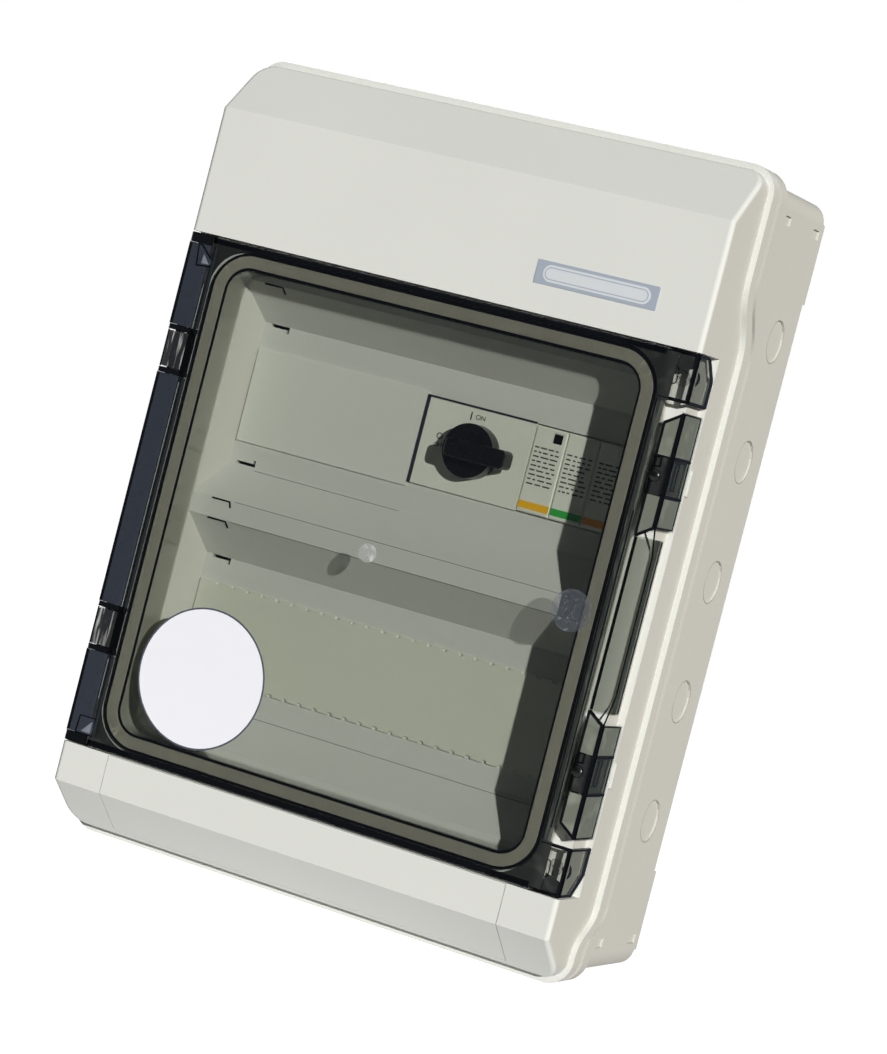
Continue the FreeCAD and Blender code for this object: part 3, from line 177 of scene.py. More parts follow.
def moulded(name, colour, roughness=0.42, grain=0.02, grain_scale=2600.0, drift=0.035,
            metallic=0.0, specks=0.0, shine=0.3, sides=None):
    """A moulded or rolled surface: a slow drift of shade, fine grain and uneven gloss.

    Specks is how strongly dark specks show. Sides is painted shade: a darker colour for what faces
    left or right.
    """
    material, tree, output = new_material(name)
    slow = noise(tree, 14.0, 2.0)
    fine = noise(tree, grain_scale, 2.0)
    shade = blend_colours(tree, slow, scaled(colour, 1 - drift), scaled(colour, 1 + drift / 2))
    if specks:
        spots = between(tree, noise(tree, 900.0, 1.0), 0.0, specks, 0.68, 0.78)
        shade = blend_colours(tree, spots, shade, scaled(colour, 0.35))
    # Painted shade: faces that look left or right take the darker sides colour
    if sides:
        normal = add(tree, "ShaderNodeTexCoord").outputs["Normal"]
        across = add(tree, "ShaderNodeSeparateXYZ", {"Vector": normal}).outputs["X"]
        share = between(tree, math_node(tree, "ABSOLUTE", across), 0.0, 1.0, 0.80, 0.98)
        shade = blend_colours(tree, share, shade, sides)
    gloss = between(tree, noise(tree, 160.0, 4.0), roughness - 0.05, roughness + 0.06)
    bump = add(tree, "ShaderNodeBump", {"Strength": grain, "Distance": 0.0002, "Height": fine})
    shader = add(tree, "ShaderNodeBsdfPrincipled",
                 {"Base Color": shade, "Roughness": gloss, "Normal": bump.outputs["Normal"],
                  "Metallic": metallic, "Specular IOR Level": shine})
    tree.links.new(shader.outputs["BSDF"], output.inputs["Surface"])
    return material


def smoked(name, passing, density, roughness=0.02):
    """Clear smoked plastic: light passes straight through, and longer ways through it are darker.

    Only outer faces mirror, because a mirror on the inner ones would keep the light in.
    """
    material, tree, output = new_material(name)
    clear = add(tree, "ShaderNodeBsdfTransparent", {"Color": (1, 1, 1, 1)})
    gloss = between(tree, noise(tree, 60.0, 3.0), roughness, roughness + 0.015)
    mirror = add(tree, "ShaderNodeBsdfGlossy", {"Color": (1, 1, 1, 1), "Roughness": gloss})
    edge = add(tree, "ShaderNodeFresnel", {"IOR": 1.5}).outputs["Fac"]
    inner = add(tree, "ShaderNodeNewGeometry").outputs["Backfacing"]
    share = math_node(tree, "MULTIPLY", edge, math_node(tree, "SUBTRACT", 1.0, inner))
    inside = add(tree, "ShaderNodeVolumeAbsorption", {"Color": (*passing, 1), "Density": density})
    tree.links.new(mix_shaders(tree, share, clear, mirror), output.inputs["Surface"])
    tree.links.new(inside.outputs["Volume"], output.inputs["Volume"])
    return material


def speckled_film(name, colour, cover, speck_colour, speck_scale, low_from, high_from):
    """A thin patch on clear plastic: partly see-through, with specks that cover more. It also
    makes sheets of painted light and painted shade on the smoked plastic.
    """
    material, tree, output = new_material(name)
    specks = between(tree, noise(tree, speck_scale, 1.0, 0.6), 0.0, 1.0, low_from, high_from)
    shade = blend_colours(tree, specks, colour, speck_colour)
    density = between(tree, specks, cover, min(1.0, cover + 0.35), 0.0, 1.0)
    shader = add(tree, "ShaderNodeBsdfPrincipled",
                 {"Base Color": shade, "Roughness": 0.5, "Alpha": density})
    tree.links.new(shader.outputs["BSDF"], output.inputs["Surface"])
    return material


def streaked(name, colour, highlight_colour, cover):
    """Painted shade on smoked plastic at its moulded ribs, with upright streaks of painted
    highlight, partly see-through.
    """
    material, tree, output = new_material(name)
    spot = add(tree, "ShaderNodeTexCoord").outputs["Object"]
    stretched = add(tree, "ShaderNodeMapping", {"Vector": spot, "Scale": (700.0, 700.0, 60.0)})
    waves = noise(tree, 1.0, 2.0, 0.5, stretched.outputs["Vector"])
    shade = blend_colours(tree, between(tree, waves, 0.0, 1.0, 0.54, 0.74), colour, highlight_colour)
    shader = add(tree, "ShaderNodeBsdfPrincipled",
                 {"Base Color": shade, "Roughness": 0.3, "Alpha": cover})
    tree.links.new(shader.outputs["BSDF"], output.inputs["Surface"])
    return material


GREY = screen(212, 213, 208)
materials = {
    # The cover's sides are painted darker, as painted shade for the slanting light on them
    "grey_plastic": moulded("grey_plastic", GREY, 0.65, 0.03, 2400.0, 0.03, shine=0.0,
                            sides=scaled(GREY, 0.87, 0.835, 0.79)),
    "black_rubber": moulded("black_rubber", screen(52, 51, 48), 0.6),
    "grey_screw_plastic": moulded("grey_screw_plastic", screen(172, 172, 168), 0.4),
    "smoked_plastic": smoked("smoked_plastic", (0.548, 0.568, 0.524), 250.0),
    "green_grey_rubber": moulded("green_grey_rubber", (0.45, 0.435, 0.365), 0.75, 0.35, 1800.0,
                                 0.08, specks=0.5),
    "zinc_steel": moulded("zinc_steel", (0.62, 0.62, 0.6), 0.32, 0.02, 1800.0, metallic=1.0),
    "strip_plastic": moulded("strip_plastic", screen(219, 221, 207), 0.45, 0.05, 1400.0, 0.05),
    "device_plastic": moulded("device_plastic", screen(229, 231, 220), 0.45, 0.02),
    "black_plastic": moulded("black_plastic", screen(13, 13, 15), 0.28, 0.04),
    "brass": moulded("brass", (0.72, 0.52, 0.24), 0.3, 0.03, 1500.0, metallic=1.0),
}
for part in frame["record"]["subparts"]:
    node = frame["nodes"][part["node"]]
    node.data.materials.clear()
    node.data.materials.append(materials[part["material_slot"]])
# The upper strip is of the cover's grey, the lower one is yellower
frame["nodes"]["blanking_strip_upper"].data.materials[0] = moulded(
    "upper_strip_plastic", screen(226, 228, 221), 0.4, 0.04, 1600.0, 0.04)
# The tub's plastic is a warmer grey than the cover's
frame["nodes"]["base_shell"].data.materials[0] = moulded(
    "tub_plastic", scaled(GREY, 0.86, 0.83, 0.79), 0.65, 0.03, 2400.0, 0.03, shine=0.0)
# The latch bar's walls look darker than the pane, and its pins are dark
frame["nodes"]["latch_bar"].data.materials[0] = smoked(
    "smoked_latch", (0.47, 0.50, 0.44), 540.0)
dark_pin = moulded("dark_pin", (0.06, 0.06, 0.06), 0.25, 0.02, metallic=0.6)
for pin in ("latch_pins", "hinge_pins"):
    frame["nodes"][pin].data.materials[0] = dark_pin

# Near black for print and a dark window, and for the lines and bars of painted shade; a blue and a
# green grey for painted shade and painted sky reflection in the smoked plastic
black_and_painted_shade = moulded("black_and_painted_shade", screen(11, 12, 14), 0.9, 0.02, shine=0.0)
painted_blue_shade = moulded("painted_blue_shade", screen(46, 51, 61), 0.3, 0.02, drift=0.12)
painted_green_shade = moulded("painted_green_shade", screen(32, 36, 37), 0.3, 0.02, drift=0.1)
# Grey ink for print and for the painted shade along the tray's folds; a paler grey for the painted
# shade in the knockouts' grooves
ink_and_fold_shade = moulded("ink_and_fold_shade", screen(66, 66, 62), 0.5, 0.02)
groove_shade = moulded("groove_shade", screen(150, 148, 140), 0.5, 0.02)
badge_grey = moulded("badge_grey", screen(158, 167, 179), 0.35, 0.03)
badge_field = moulded("badge_field", screen(204, 208, 211), 0.35, 0.03)
paper = moulded("paper", screen(233, 233, 239), 0.5, 0.05, 1500.0, 0.015)
paper_rim = moulded("paper_rim", screen(74, 80, 92), 0.5)
amber = moulded("amber", screen(250, 188, 30), 0.4)
green = moulded("green", screen(52, 170, 72), 0.4)
orange = moulded("orange", screen(238, 160, 60), 0.4)
# A painted highlight in the door's corner recesses
glint = moulded("glint", screen(118, 124, 132), 0.3)
pane_mark = speckled_film("pane_mark", screen(176, 178, 176), 0.38, screen(225, 226, 226),
                    260.0, 0.5, 0.85)
speckled = speckled_film("speckled", screen(92, 98, 108), 0.22, screen(200, 206, 214),
                   1300.0, 0.63, 0.78)
# Painted light caught in the latches' clear plastic, and painted shade where the smoked plastic is
# dark
painted_side_light = speckled_film("painted_side_light", screen(186, 188, 174), 0.66, screen(206, 208, 194), 90.0, 0.5, 0.8)
painted_front_light = speckled_film("painted_front_light", screen(152, 155, 142), 0.62, screen(174, 177, 164),
                     90.0, 0.5, 0.8)
shade_fill = speckled_film("shade_fill", screen(25, 26, 24), 0.93, screen(58, 60, 55),
                     130.0, 0.54, 0.82)
# Painted shade streaked with painted highlight, beside the gasket and on the hinge clips
trim_shade_and_glints = streaked("trim_shade_and_glints", screen(52, 55, 50), screen(122, 126, 118), 0.62)
clip_shade_and_glints = streaked("clip_shade_and_glints", screen(36, 37, 39), screen(190, 190, 186), 0.86)


# Outlines: lists of x and z pairs, drawn anticlockwise as seen from the front

def box_outline(left, low, right, high):
    return [(left, low), (right, low), (right, high), (left, high)]


def rounded_outline(left, low, right, high, radius, steps=8):
    corners = ((right - radius, low + radius, -90), (right - radius, high - radius, 0),
               (left + radius, high - radius, 90), (left + radius, low + radius, 180))
    points = []
    for x, z, start in corners:
        for step in range(steps + 1):
            turn = math.radians(start + 90 * step / steps)
            points.append((x + radius * math.cos(turn), z + radius * math.sin(turn)))
    return points


def disc_outline(x, z, radius, steps=72):
    turns = [math.tau * step / steps for step in range(steps)]
    return [(x + radius * math.cos(turn), z + radius * math.sin(turn)) for turn in turns]


def door_ring(half_width, rise, radius):
    return rounded_outline(-half_width, DOOR_MIDDLE - rise, half_width, DOOR_MIDDLE + rise,
                           radius, 10)


def closed(points):
    return points + points[:1]


def flipped(outline):
    """The outline mirrored from the door's upper half to its lower one."""
    return [(x, 2 * DOOR_MIDDLE - z) for x, z in outline][::-1]


# Pieces

def add_piece(name, mesh, material, body, bevel=0.0, smooth=False):
    """Puts a mesh in the scene as a piece that rides on a body."""
    mesh.name = name
    mesh.materials.clear()
    mesh.materials.append(material)
    piece = bpy.data.objects.new(name, mesh)
    bpy.context.scene.collection.objects.link(piece)
    if bevel:
        rounding = piece.modifiers.new("rounding", "BEVEL")
        rounding.width = bevel * MM
        rounding.segments = 2
        rounding.limit_method = "ANGLE"
    if smooth:
        for face in mesh.polygons:
            face.use_smooth = True
    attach(piece, body)


def finish_mesh(name, mesh_data, material, body, bevel=0.0, smooth=False):
    mesh = bpy.data.meshes.new(name)
    bmesh.ops.recalc_face_normals(mesh_data, faces=mesh_data.faces)
    mesh_data.to_mesh(mesh)
    mesh_data.free()
    add_piece(name, mesh, material, body, bevel, smooth)


def prism(mesh_data, near_side, far_side):
    """Adds the closed solid between two rows of points."""
    near_side = [mesh_data.verts.new(spot) for spot in near_side]
    far_side = [mesh_data.verts.new(spot) for spot in far_side]
    mesh_data.faces.new(near_side)
    mesh_data.faces.new(far_side[::-1])
    count = len(near_side)
    for step in range(count):
        after = (step + 1) % count
        mesh_data.faces.new((near_side[after], near_side[step], far_side[step], far_side[after]))


def slabs(name, outlines, front, back, material, body, bevel=0.0):
    """Plates that face the front."""
    mesh_data = bmesh.new()
    for outline in outlines:
        prism(mesh_data, [place(x, front, z) for x, z in outline],
              [place(x, back, z) for x, z in outline])
    finish_mesh(name, mesh_data, material, body, bevel)


def side_slabs(name, outlines, left, right, material, body):
    """Plates that face the right side; an outline is pairs of depth and z."""
    mesh_data = bmesh.new()
    for outline in outlines:
        prism(mesh_data, [place(right, depth, z) for depth, z in outline],
              [place(left, depth, z) for depth, z in outline])
    finish_mesh(name, mesh_data, material, body)


def upright_bars(name, section, spans, material, body):
    """Bars along the height; the section is pairs of x and depth."""
    mesh_data = bmesh.new()
    for low, high in spans:
        prism(mesh_data, [place(x, depth, high) for x, depth in section],
              [place(x, depth, low) for x, depth in section])
    finish_mesh(name, mesh_data, material, body)


def band(name, outer, inner, front, back, material, body):
    """A closed band between two outlines that have the same number of points."""
    mesh_data = bmesh.new()
    rings = [[mesh_data.verts.new(place(x, depth, z)) for x, z in outline]
             for outline, depth in ((outer, front), (inner, front), (inner, back), (outer, back))]
    count = len(outer)
    for first, second in zip(rings, rings[1:] + rings[:1]):
        for step in range(count):
            after = (step + 1) % count
            mesh_data.faces.new((first[step], first[after], second[after], second[step]))
    finish_mesh(name, mesh_data, material, body)


def dome(name, x, z, radius, front, back, material, body):
    """A domed round boss that faces the front."""
    mesh_data = bmesh.new()
    steps, sides = 7, 32
    loops = []
    for step in range(steps):
        turn = math.pi / 2 * (step + 1) / steps
        depth = back - (back - front) * math.cos(turn)
        outline = disc_outline(x, z, radius * math.sin(turn), sides)
        loops.append([mesh_data.verts.new(place(across, depth, height))
                      for across, height in outline])
    mesh_data.faces.new(loops[0])
    for first, second in zip(loops, loops[1:]):
        for side in range(sides):
            after = (side + 1) % sides
            mesh_data.faces.new((first[side], second[side], second[after], first[after]))
    mesh_data.faces.new(loops[-1][::-1])
    finish_mesh(name, mesh_data, material, body, smooth=True)


def mesh_of(curve):
    """The mesh that a curve or a line of text makes."""
    source = bpy.data.objects.new(curve.name + "_source", curve)
    bpy.context.scene.collection.objects.link(source)
    bpy.context.view_layer.update()
    mesh = bpy.data.meshes.new_from_object(source)
    bpy.data.objects.remove(source)
    return mesh


def lines(name, paths, radius, material, body):
    """Thin rods along paths of x, depth and z, as painted shade: the dark lines that moulded
    edges, folds, slots and grooves show.
    """
    curve = bpy.data.curves.new(name, "CURVE")
    curve.dimensions = "3D"
    curve.bevel_depth = radius * MM
    curve.bevel_resolution = 2
    curve.use_fill_caps = True
    for path in paths:
        spline = curve.splines.new("POLY")
        spline.points.add(len(path) - 1)
        for point, spot in zip(spline.points, path):
            point.co = (*place(*spot), 1)
    add_piece(name, mesh_of(curve), material, body, smooth=True)


def words(name, text, size, spot, material, body):
    """Plain printed letters that face the front."""
    curve = bpy.data.curves.new(name, "FONT")
    curve.body = text
    curve.size = size * MM
    curve.extrude = 0.04 * MM
    mesh = mesh_of(curve)
    upright = Matrix.Rotation(math.radians(90), 4, "X")
    mesh.transform(Matrix.Translation(place(*spot)) @ upright)
    add_piece(name, mesh, material, body)


def ray_hit(node_name, start, travel):
    """Where a ray first strikes a node, in metres, or nothing where it misses."""
    node = frame["nodes"][node_name]
    inward = node.matrix_world.inverted()
    aim = inward @ (start + travel) - inward @ start
    struck, spot, _, _ = node.ray_cast(inward @ start, aim.normalized())
    return node.matrix_world @ spot if struck else None


def add_badge():
    """A bare plate in the maker's place on the upper front."""
    slabs("badge_plate", [rounded_outline(49.5, 126.0, 116.0, 138.0, 0.6, 3)], -0.35, 0.3,
          badge_grey, "enclosure", 0.15)
    slabs("badge_field", [rounded_outline(53.5, 127.7, 112.0, 136.3, 4.25, 10)], -0.45, 0.0,
          badge_field, "enclosure", 0.1)
    band("badge_ring", rounded_outline(54.6, 128.8, 110.9, 135.2, 3.15, 10),
         rounded_outline(55.1, 129.3, 110.4, 134.7, 2.65, 10), -0.5, -0.3,
         badge_grey, "enclosure")


def add_pane_marks():
    """The sticker, the mark of the mould's gate and the speckled patch on the pane."""
    middle = (-74.0, -110.8)
    slabs("sticker_face", [disc_outline(*middle, 36.5)], PANE_FRONT - 0.05, PANE_FRONT + 0.02,
          paper, "door")
    band("sticker_rim", disc_outline(*middle, 36.6), disc_outline(*middle, 35.7),
         PANE_FRONT - 0.08, PANE_FRONT + 0.01, paper_rim, "door")
    slabs("pane_gate", [disc_outline(-0.5, -25.4, 4.9, 48)], PANE_FRONT - 0.06, PANE_FRONT + 0.6,
          pane_mark, "door", 0.25)
    slabs("pane_patch", [disc_outline(113.5, -25.2, 10.6)], PANE_FRONT - 0.06, PANE_FRONT + 0.05,
          speckled, "door")


def add_gasket_lines():
    """Painted shade: the dark lines that the pane's rib and skirt show on both sides of the
    gasket, and dark bars along the door's top and bottom edges.
    """
    band("rib_line", door_ring(126.4, 132.6, 21.6), door_ring(124.9, 131.1, 20.1), 1.9, 2.5,
         black_and_painted_shade, "door")
    band("skirt_line", door_ring(118.5, 124.8, 13.7), door_ring(117.3, 123.6, 12.5), 1.9, 2.5,
         black_and_painted_shade, "door")
    slabs("door_end_shade", [box_outline(-130.6, DOOR_TOP - 3.6, 127.0, DOOR_TOP - 0.3),
                        box_outline(-130.6, DOOR_BOTTOM + 0.3, 127.0, DOOR_BOTTOM + 3.6)],
          0.5, 1.0, black_and_painted_shade, "door")


def add_strip_shades():
    """Painted shade and painted reflection behind the left strip of the door: blue and green
    sheets for its dark facets, and dark bars.
    """
    slabs("strip_shade_and_reflection", [box_outline(-142.5, low, -131.3, high) for low, high in STRETCHES],
          0.45, 1.1, painted_blue_shade, "door")
    bars = [box_outline(-DOOR_EDGE, DOOR_TOP - 5.2, -130.8, DOOR_TOP - 0.4),
            box_outline(-DOOR_EDGE, DOOR_BOTTOM + 0.4, -130.8, DOOR_BOTTOM + 5.2)]
    for height in HINGE_HEIGHTS:
        for side in (1, -1):
            low, high = sorted((height + side * CLIP_HALF, height + side * (STRIP_GAP - 0.2)))
            bars.append(box_outline(-DOOR_EDGE, low, -127.0, high))
        bars.append(box_outline(-130.9, height - CLIP_HALF, -127.2, height + CLIP_HALF))
    slabs("strip_shade_bars", bars, 0.6, 1.2, black_and_painted_shade, "door")
    bevel = [(-130.8, 1.9), (-127.5, -1.2), (-126.3, -1.2), (-126.3, -0.4), (-127.2, -0.4),
             (-130.5, 2.6)]
    upright_bars("bevel_shade", bevel, STRETCHES, painted_green_shade, "door")
    slabs("strip_back_shade", [box_outline(-DOOR_EDGE, low, -131.2, high) for low, high in STRETCHES],
          1.25, 1.5, black_and_painted_shade, "door")


def add_corner_crests():
    """Painted shade: the dark crests of the door's two corner pieces on the right."""
    upright_bars("corner_crest", CREST, [(DOOR_TOP - 24.0, DOOR_TOP - 0.5),
                                         (DOOR_BOTTOM + 0.5, DOOR_BOTTOM + 24.0)],
                 black_and_painted_shade, "door")


def add_strip_lines():
    """Painted shade: the dark lines along the left strip's edges and beside its hinge clips."""
    paths = []
    for low, high in STRETCHES:
        for x, depth in ((-DOOR_EDGE, 1.0), (-131.7, 1.5)):
            paths.append([(x, depth, low), (x, depth, high)])
    for height in (DOOR_TOP - 0.6, DOOR_BOTTOM + 0.6):
        paths.append([(-143.8, 1.1, height), (-131.0, 1.5, height)])
    for height in HINGE_HEIGHTS:
        for edge in (height + CLIP_HALF, height - CLIP_HALF):
            paths.append([(-DOOR_EDGE, 1.0, edge), (-131.4, 1.4, edge), (-127.5, -0.8, edge)])
    lines("strip_lines", paths, 0.6, black_and_painted_shade, "door")


def add_corner_lines():
    """Painted shade: the dark outlines of the door's two corner pieces on the right."""
    crest, front, back = 143.8, 1.2, 26.3
    paths = []
    for side in (1, -1):
        end = DOOR_MIDDLE + side * (DOOR_RISE - 0.7)
        inner = DOOR_MIDDLE + side * (DOOR_RISE - 24.1)
        paths += [[(128.0, front, inner), (crest, front, inner), (crest, back, inner)],
                  [(crest, front, inner), (crest, front, end), (crest, 15.8, end),
                   (crest, back - 0.1, end - side * 10.2), (crest, back, inner)],
                  [(128.0, 0.6, end), (crest, front, end)]]
    lines("corner_lines", paths, 0.85, black_and_painted_shade, "door")


def add_latch_lines():
    """Painted shade: the dark outlines of the latches' facets, and of the grip between them."""
    left, crest, front = 135.0, DOOR_EDGE, 0.85
    grip_half, notch_half = 43.4, 35.5
    thick, thin = [], []
    for side in (1, -1):
        end = DOOR_MIDDLE + side * LATCH_OUTER
        inner = DOOR_MIDDLE + side * LATCH_INNER
        slope = side * LATCH_SLOPE
        thick += [[(left, front, end - slope), (crest, front, end)],
                  [(crest, front, inner), (left, front, inner - slope)],
                  [(left, front, end - slope), (left, front, inner - slope)],
                  [(crest, front + 0.2, end), (crest, front + 0.2, inner)]]
        thin.append([(crest, front, end), (crest, LATCH_BACK, end), (crest, LATCH_BACK, inner),
                     (crest, front, inner)])
        for rib in LATCH_RIBS:
            height = DOOR_MIDDLE + side * rib
            thick.append([(crest, front, height), (crest, LATCH_BACK, height)])
            thin.append([(141.6, front, height), (crest, front, height)])
        thin.append([(crest, front, inner), (142.9, 9.9, DOOR_MIDDLE + side * notch_half)])
    for x, depth, half, group in ((142.9, 10.1, notch_half, thin), (142.9, 18.4, grip_half, thin),
                                  (135.1, 1.9, grip_half, thick)):
        group.append([(x, depth, DOOR_MIDDLE - half), (x, depth, DOOR_MIDDLE + half)])
    lines("latch_outlines", thick, 0.85, black_and_painted_shade, "latch")
    lines("latch_creases", thin, 0.4, black_and_painted_shade, "latch")


def add_latch_faces():
    """The pale facets of the latches, painted light that stands for light caught in the clear
    plastic, and the dark line of painted shade along their crest.
    """
    sides, fronts, spans = [], [], []
    left, right = 135.4, 143.2
    for side in (1, -1):
        for near, far in ((50.4, 64.4), (85.4, 106.0)):
            low, high = sorted((DOOR_MIDDLE + side * near, DOOR_MIDDLE + side * far))
            sides.append(box_outline(2.6, low, 23.6, high))
        end = DOOR_MIDDLE + side * LATCH_OUTER
        inner = DOOR_MIDDLE + side * LATCH_INNER
        slope = side * LATCH_SLOPE
        outer_rib, inner_rib = DOOR_MIDDLE + side * 84.9, DOOR_MIDDLE + side * 64.9
        fronts += [[(left, outer_rib), (right, outer_rib), (right, end), (left, end - slope)],
                   [(left, inner - slope), (right, inner), (right, inner_rib), (left, inner_rib)]]
        spans.append(sorted((inner, end)))
    side_slabs("latch_side_light", sides, 143.9, 144.1, painted_side_light, "latch")
    slabs("latch_front_light", fronts, 0.5, 0.7, painted_front_light, "latch")
    upright_bars("latch_crest", CREST, spans, black_and_painted_shade, "latch")


def add_latch_bosses():
    """Painted shade in the middle of each latch, with its boss and its two small frames drawn as
    dark lines of painted shade.
    """
    for side, name in ((1, "upper"), (-1, "lower")):
        height = DOOR_MIDDLE + side * LATCH_BOSS
        slabs("latch_shade_" + name, [box_outline(134.9, height - 9.6, 143.4, height + 9.6)],
              1.2, 1.8, shade_fill, "latch")
        dome("latch_boss_" + name, 136.6, height, 3.3, -0.4, 1.4, materials["black_plastic"],
             "latch")
        low, high = height + 4.6, height + 9.4
        front_frame = [(134.8, 0.6, low), (138.4, 0.6, low), (138.4, 0.6, high),
                       (134.8, 0.6, high)]
        side_frame = [(144.2, depth, z) for depth, z in
                      ((7.4, height - 5.5), (11.2, height - 5.5), (11.2, height + 7.5),
                       (7.4, height + 7.5))]
        lines("latch_frame_" + name, [front_frame, closed(side_frame)], 0.4,
              black_and_painted_shade, "latch")


def corner_fill(side_x, side_z):
    """The outline between the door's corner and the gasket's rounded corner."""
    ring = door_ring(127.4, 133.6, 22.6)
    corner_x = -130.9 if side_x < 0 else 133.6
    start = {(1, -1): 0, (1, 1): 11, (-1, 1): 22, (-1, -1): 33}[(side_x, side_z)]
    arc = ring[start:start + 11]
    edge = DOOR_MIDDLE + side_z * (DOOR_RISE - 0.5)
    first, last = arc[0], arc[-1]
    if side_x * side_z > 0:
        return arc + [(last[0], edge), (corner_x, edge), (corner_x, first[1])]
    return arc + [(corner_x, last[1]), (corner_x, edge), (first[0], edge)]


def add_corner_shades():
    """Painted shade on stretches and recesses at the door's corners, where the smoked plastic is
    on end, with a painted highlight in each recess and painted shade round the corner screws.
    """
    slabs("corner_shade", [corner_fill(x, z) for x in (1, -1) for z in (1, -1)], 0.5, 0.9,
          shade_fill, "door")
    recesses = [[(-137.0, 94.1), (-129.5, 94.9), (-128.2, 97.6), (-136.3, 105.0), (-138.3, 105.1)],
                [(-138.6, -156.6), (-128.4, -156.6), (-128.4, -147.4), (-138.0, -147.4)]]
    slabs("recess_shade", recesses, 0.35, 0.5, painted_blue_shade, "door")
    slabs("recess_glint", [[(-134.6, 95.6), (-130.2, 95.8), (-134.2, 100.6)],
                           [(-135.6, -155.4), (-130.2, -155.4), (-130.2, -149.2)]], 0.25, 0.4,
          glint, "door")
    square = rounded_outline(127.6, 94.2, 135.4, 102.6, 1.5, 3)
    for name, outlines, depth, radius in (
            ("recess_lines", recesses, 0.3, 0.4),
            ("square_lines", [square, flipped(square)], 1.0, 0.3)):
        lines(name, [[(x, depth, z) for x, z in closed(outline)] for outline in outlines],
              radius, black_and_painted_shade, "door")
    end_shade = [(133.8, 100.6), (143.2, 103.4), (143.2, 110.0), (133.8, 110.0)]
    slabs("end_shade", [end_shade, flipped(end_shade)], 1.5, 1.8,
          shade_fill, "door")
    for side, name in ((1, "upper"), (-1, "lower")):
        screw = (137.4, DOOR_MIDDLE + side * 124.6)
        band("screw_shade_" + name, disc_outline(*screw, 5.0, 40), disc_outline(*screw, 3.9, 40),
             13.2, 13.6, black_and_painted_shade, "enclosure")


def add_side_trims():
    """Painted shade streaked with painted highlight right of the gasket and on the two hinge
    clips' faces, edged with dark lines of painted shade.
    """
    slabs("right_trim_shade", [box_outline(127.2, -137.0, 132.2, 85.6)], 0.9, 1.25, trim_shade_and_glints,
          "door")
    lines("trim_lines", [[(127.9, 1.0, -138.0), (127.9, 1.0, 87.0)],
                         [(130.8, 1.1, -130.0), (130.8, 1.1, 30.0)]], 0.4,
          black_and_painted_shade, "door")
    for height, name in zip(HINGE_HEIGHTS, ("upper", "lower")):
        slabs("clip_shade_" + name, [box_outline(-143.2, height - 9.4, -131.6, height + 9.4)],
              0.6, 1.0, clip_shade_and_glints, "enclosure")
        lines("clip_lines_" + name, [[(x, 0.9, height - 9.8), (x, 0.9, height + 9.8)]
                                     for x in (-143.6, -131.4)], 0.45,
              black_and_painted_shade, "enclosure")


def cover_depth(x, z):
    """How deep the front cover's face lies behind its front at a place."""
    spot = ray_hit("front_cover", place(x, -40.0, z), Vector((0, 1, 0)))
    return (spot.y - FRONT) / MM if spot else 24.5


def add_tray_marks():
    """The clip slots and the fold lines of the tray, drawn as dark lines of painted shade."""
    slots, folds = [], []
    for height in (93.9, -20.9, -31.4):
        corner = [(-107.2, height), (-96.6, height), (-95.6, height - 3.0)]
        slots.append([(x, cover_depth(x, z) - 0.05, z) for x, z in corner])
    lines("clip_slots", slots, 0.5, black_and_painted_shade, "enclosure")
    for left, right, height in ((-95.0, -8.5, -2.6), (-94.0, 108.0, -20.3), (-94.0, 112.0, -31.0),
                                (-60.0, 108.0, -127.4)):
        spots = [(left + (right - left) * step / 40, height) for step in range(41)]
        folds.append([(x, cover_depth(x, z) + 0.02, z) for x, z in spots])
    lines("fold_lines", folds, 0.14, ink_and_fold_shade, "enclosure")


def add_knockout_rings():
    """A grey line of painted shade in the thin groove round each knockout of the side walls."""
    paths = []
    for height in KNOCKOUT_HEIGHTS:
        for side in (1, -1):
            ring = []
            for depth, z in closed(disc_outline(KNOCKOUT_DEPTH, height, KNOCKOUT_RADIUS, 32)):
                spot = ray_hit("base_shell", place(side * 170.0, depth, z), Vector((-side, 0, 0)))
                ring.append((spot.x / MM + side * 0.02 if spot else side * 140.0, depth, z))
            paths.append(ring)
    lines("knockout_rings", paths, 0.22, groove_shade, "enclosure")


def add_switch_marks():
    """Painted shade in the gap beside and above the plate, and the two positions' marks beside the
    knob.
    """
    front, back = PLATE_FACE - 0.05, PLATE_FACE + 0.05
    slabs("plate_gap_shade", [box_outline(-8.4, 13.2, -6.6, 59.4), box_outline(-8.4, 58.5, 54.0, 59.6)],
          38.9, 40.2, painted_blue_shade, "enclosure")
    slabs("mark_i", [box_outline(17.6, 52.0, 18.3, 56.2)], front, back,
          black_and_painted_shade, "enclosure")
    words("mark_on", "ON", 3.6, (20.4, front, 53.0), black_and_painted_shade, "enclosure")
    band("mark_o", disc_outline(3.4, 40.2, 1.7, 32), disc_outline(3.4, 40.2, 1.15, 32),
         front, back, ink_and_fold_shade, "enclosure")
    words("mark_off", "OFF", 3.0, (1.2, front, 34.6), black_and_painted_shade, "enclosure")


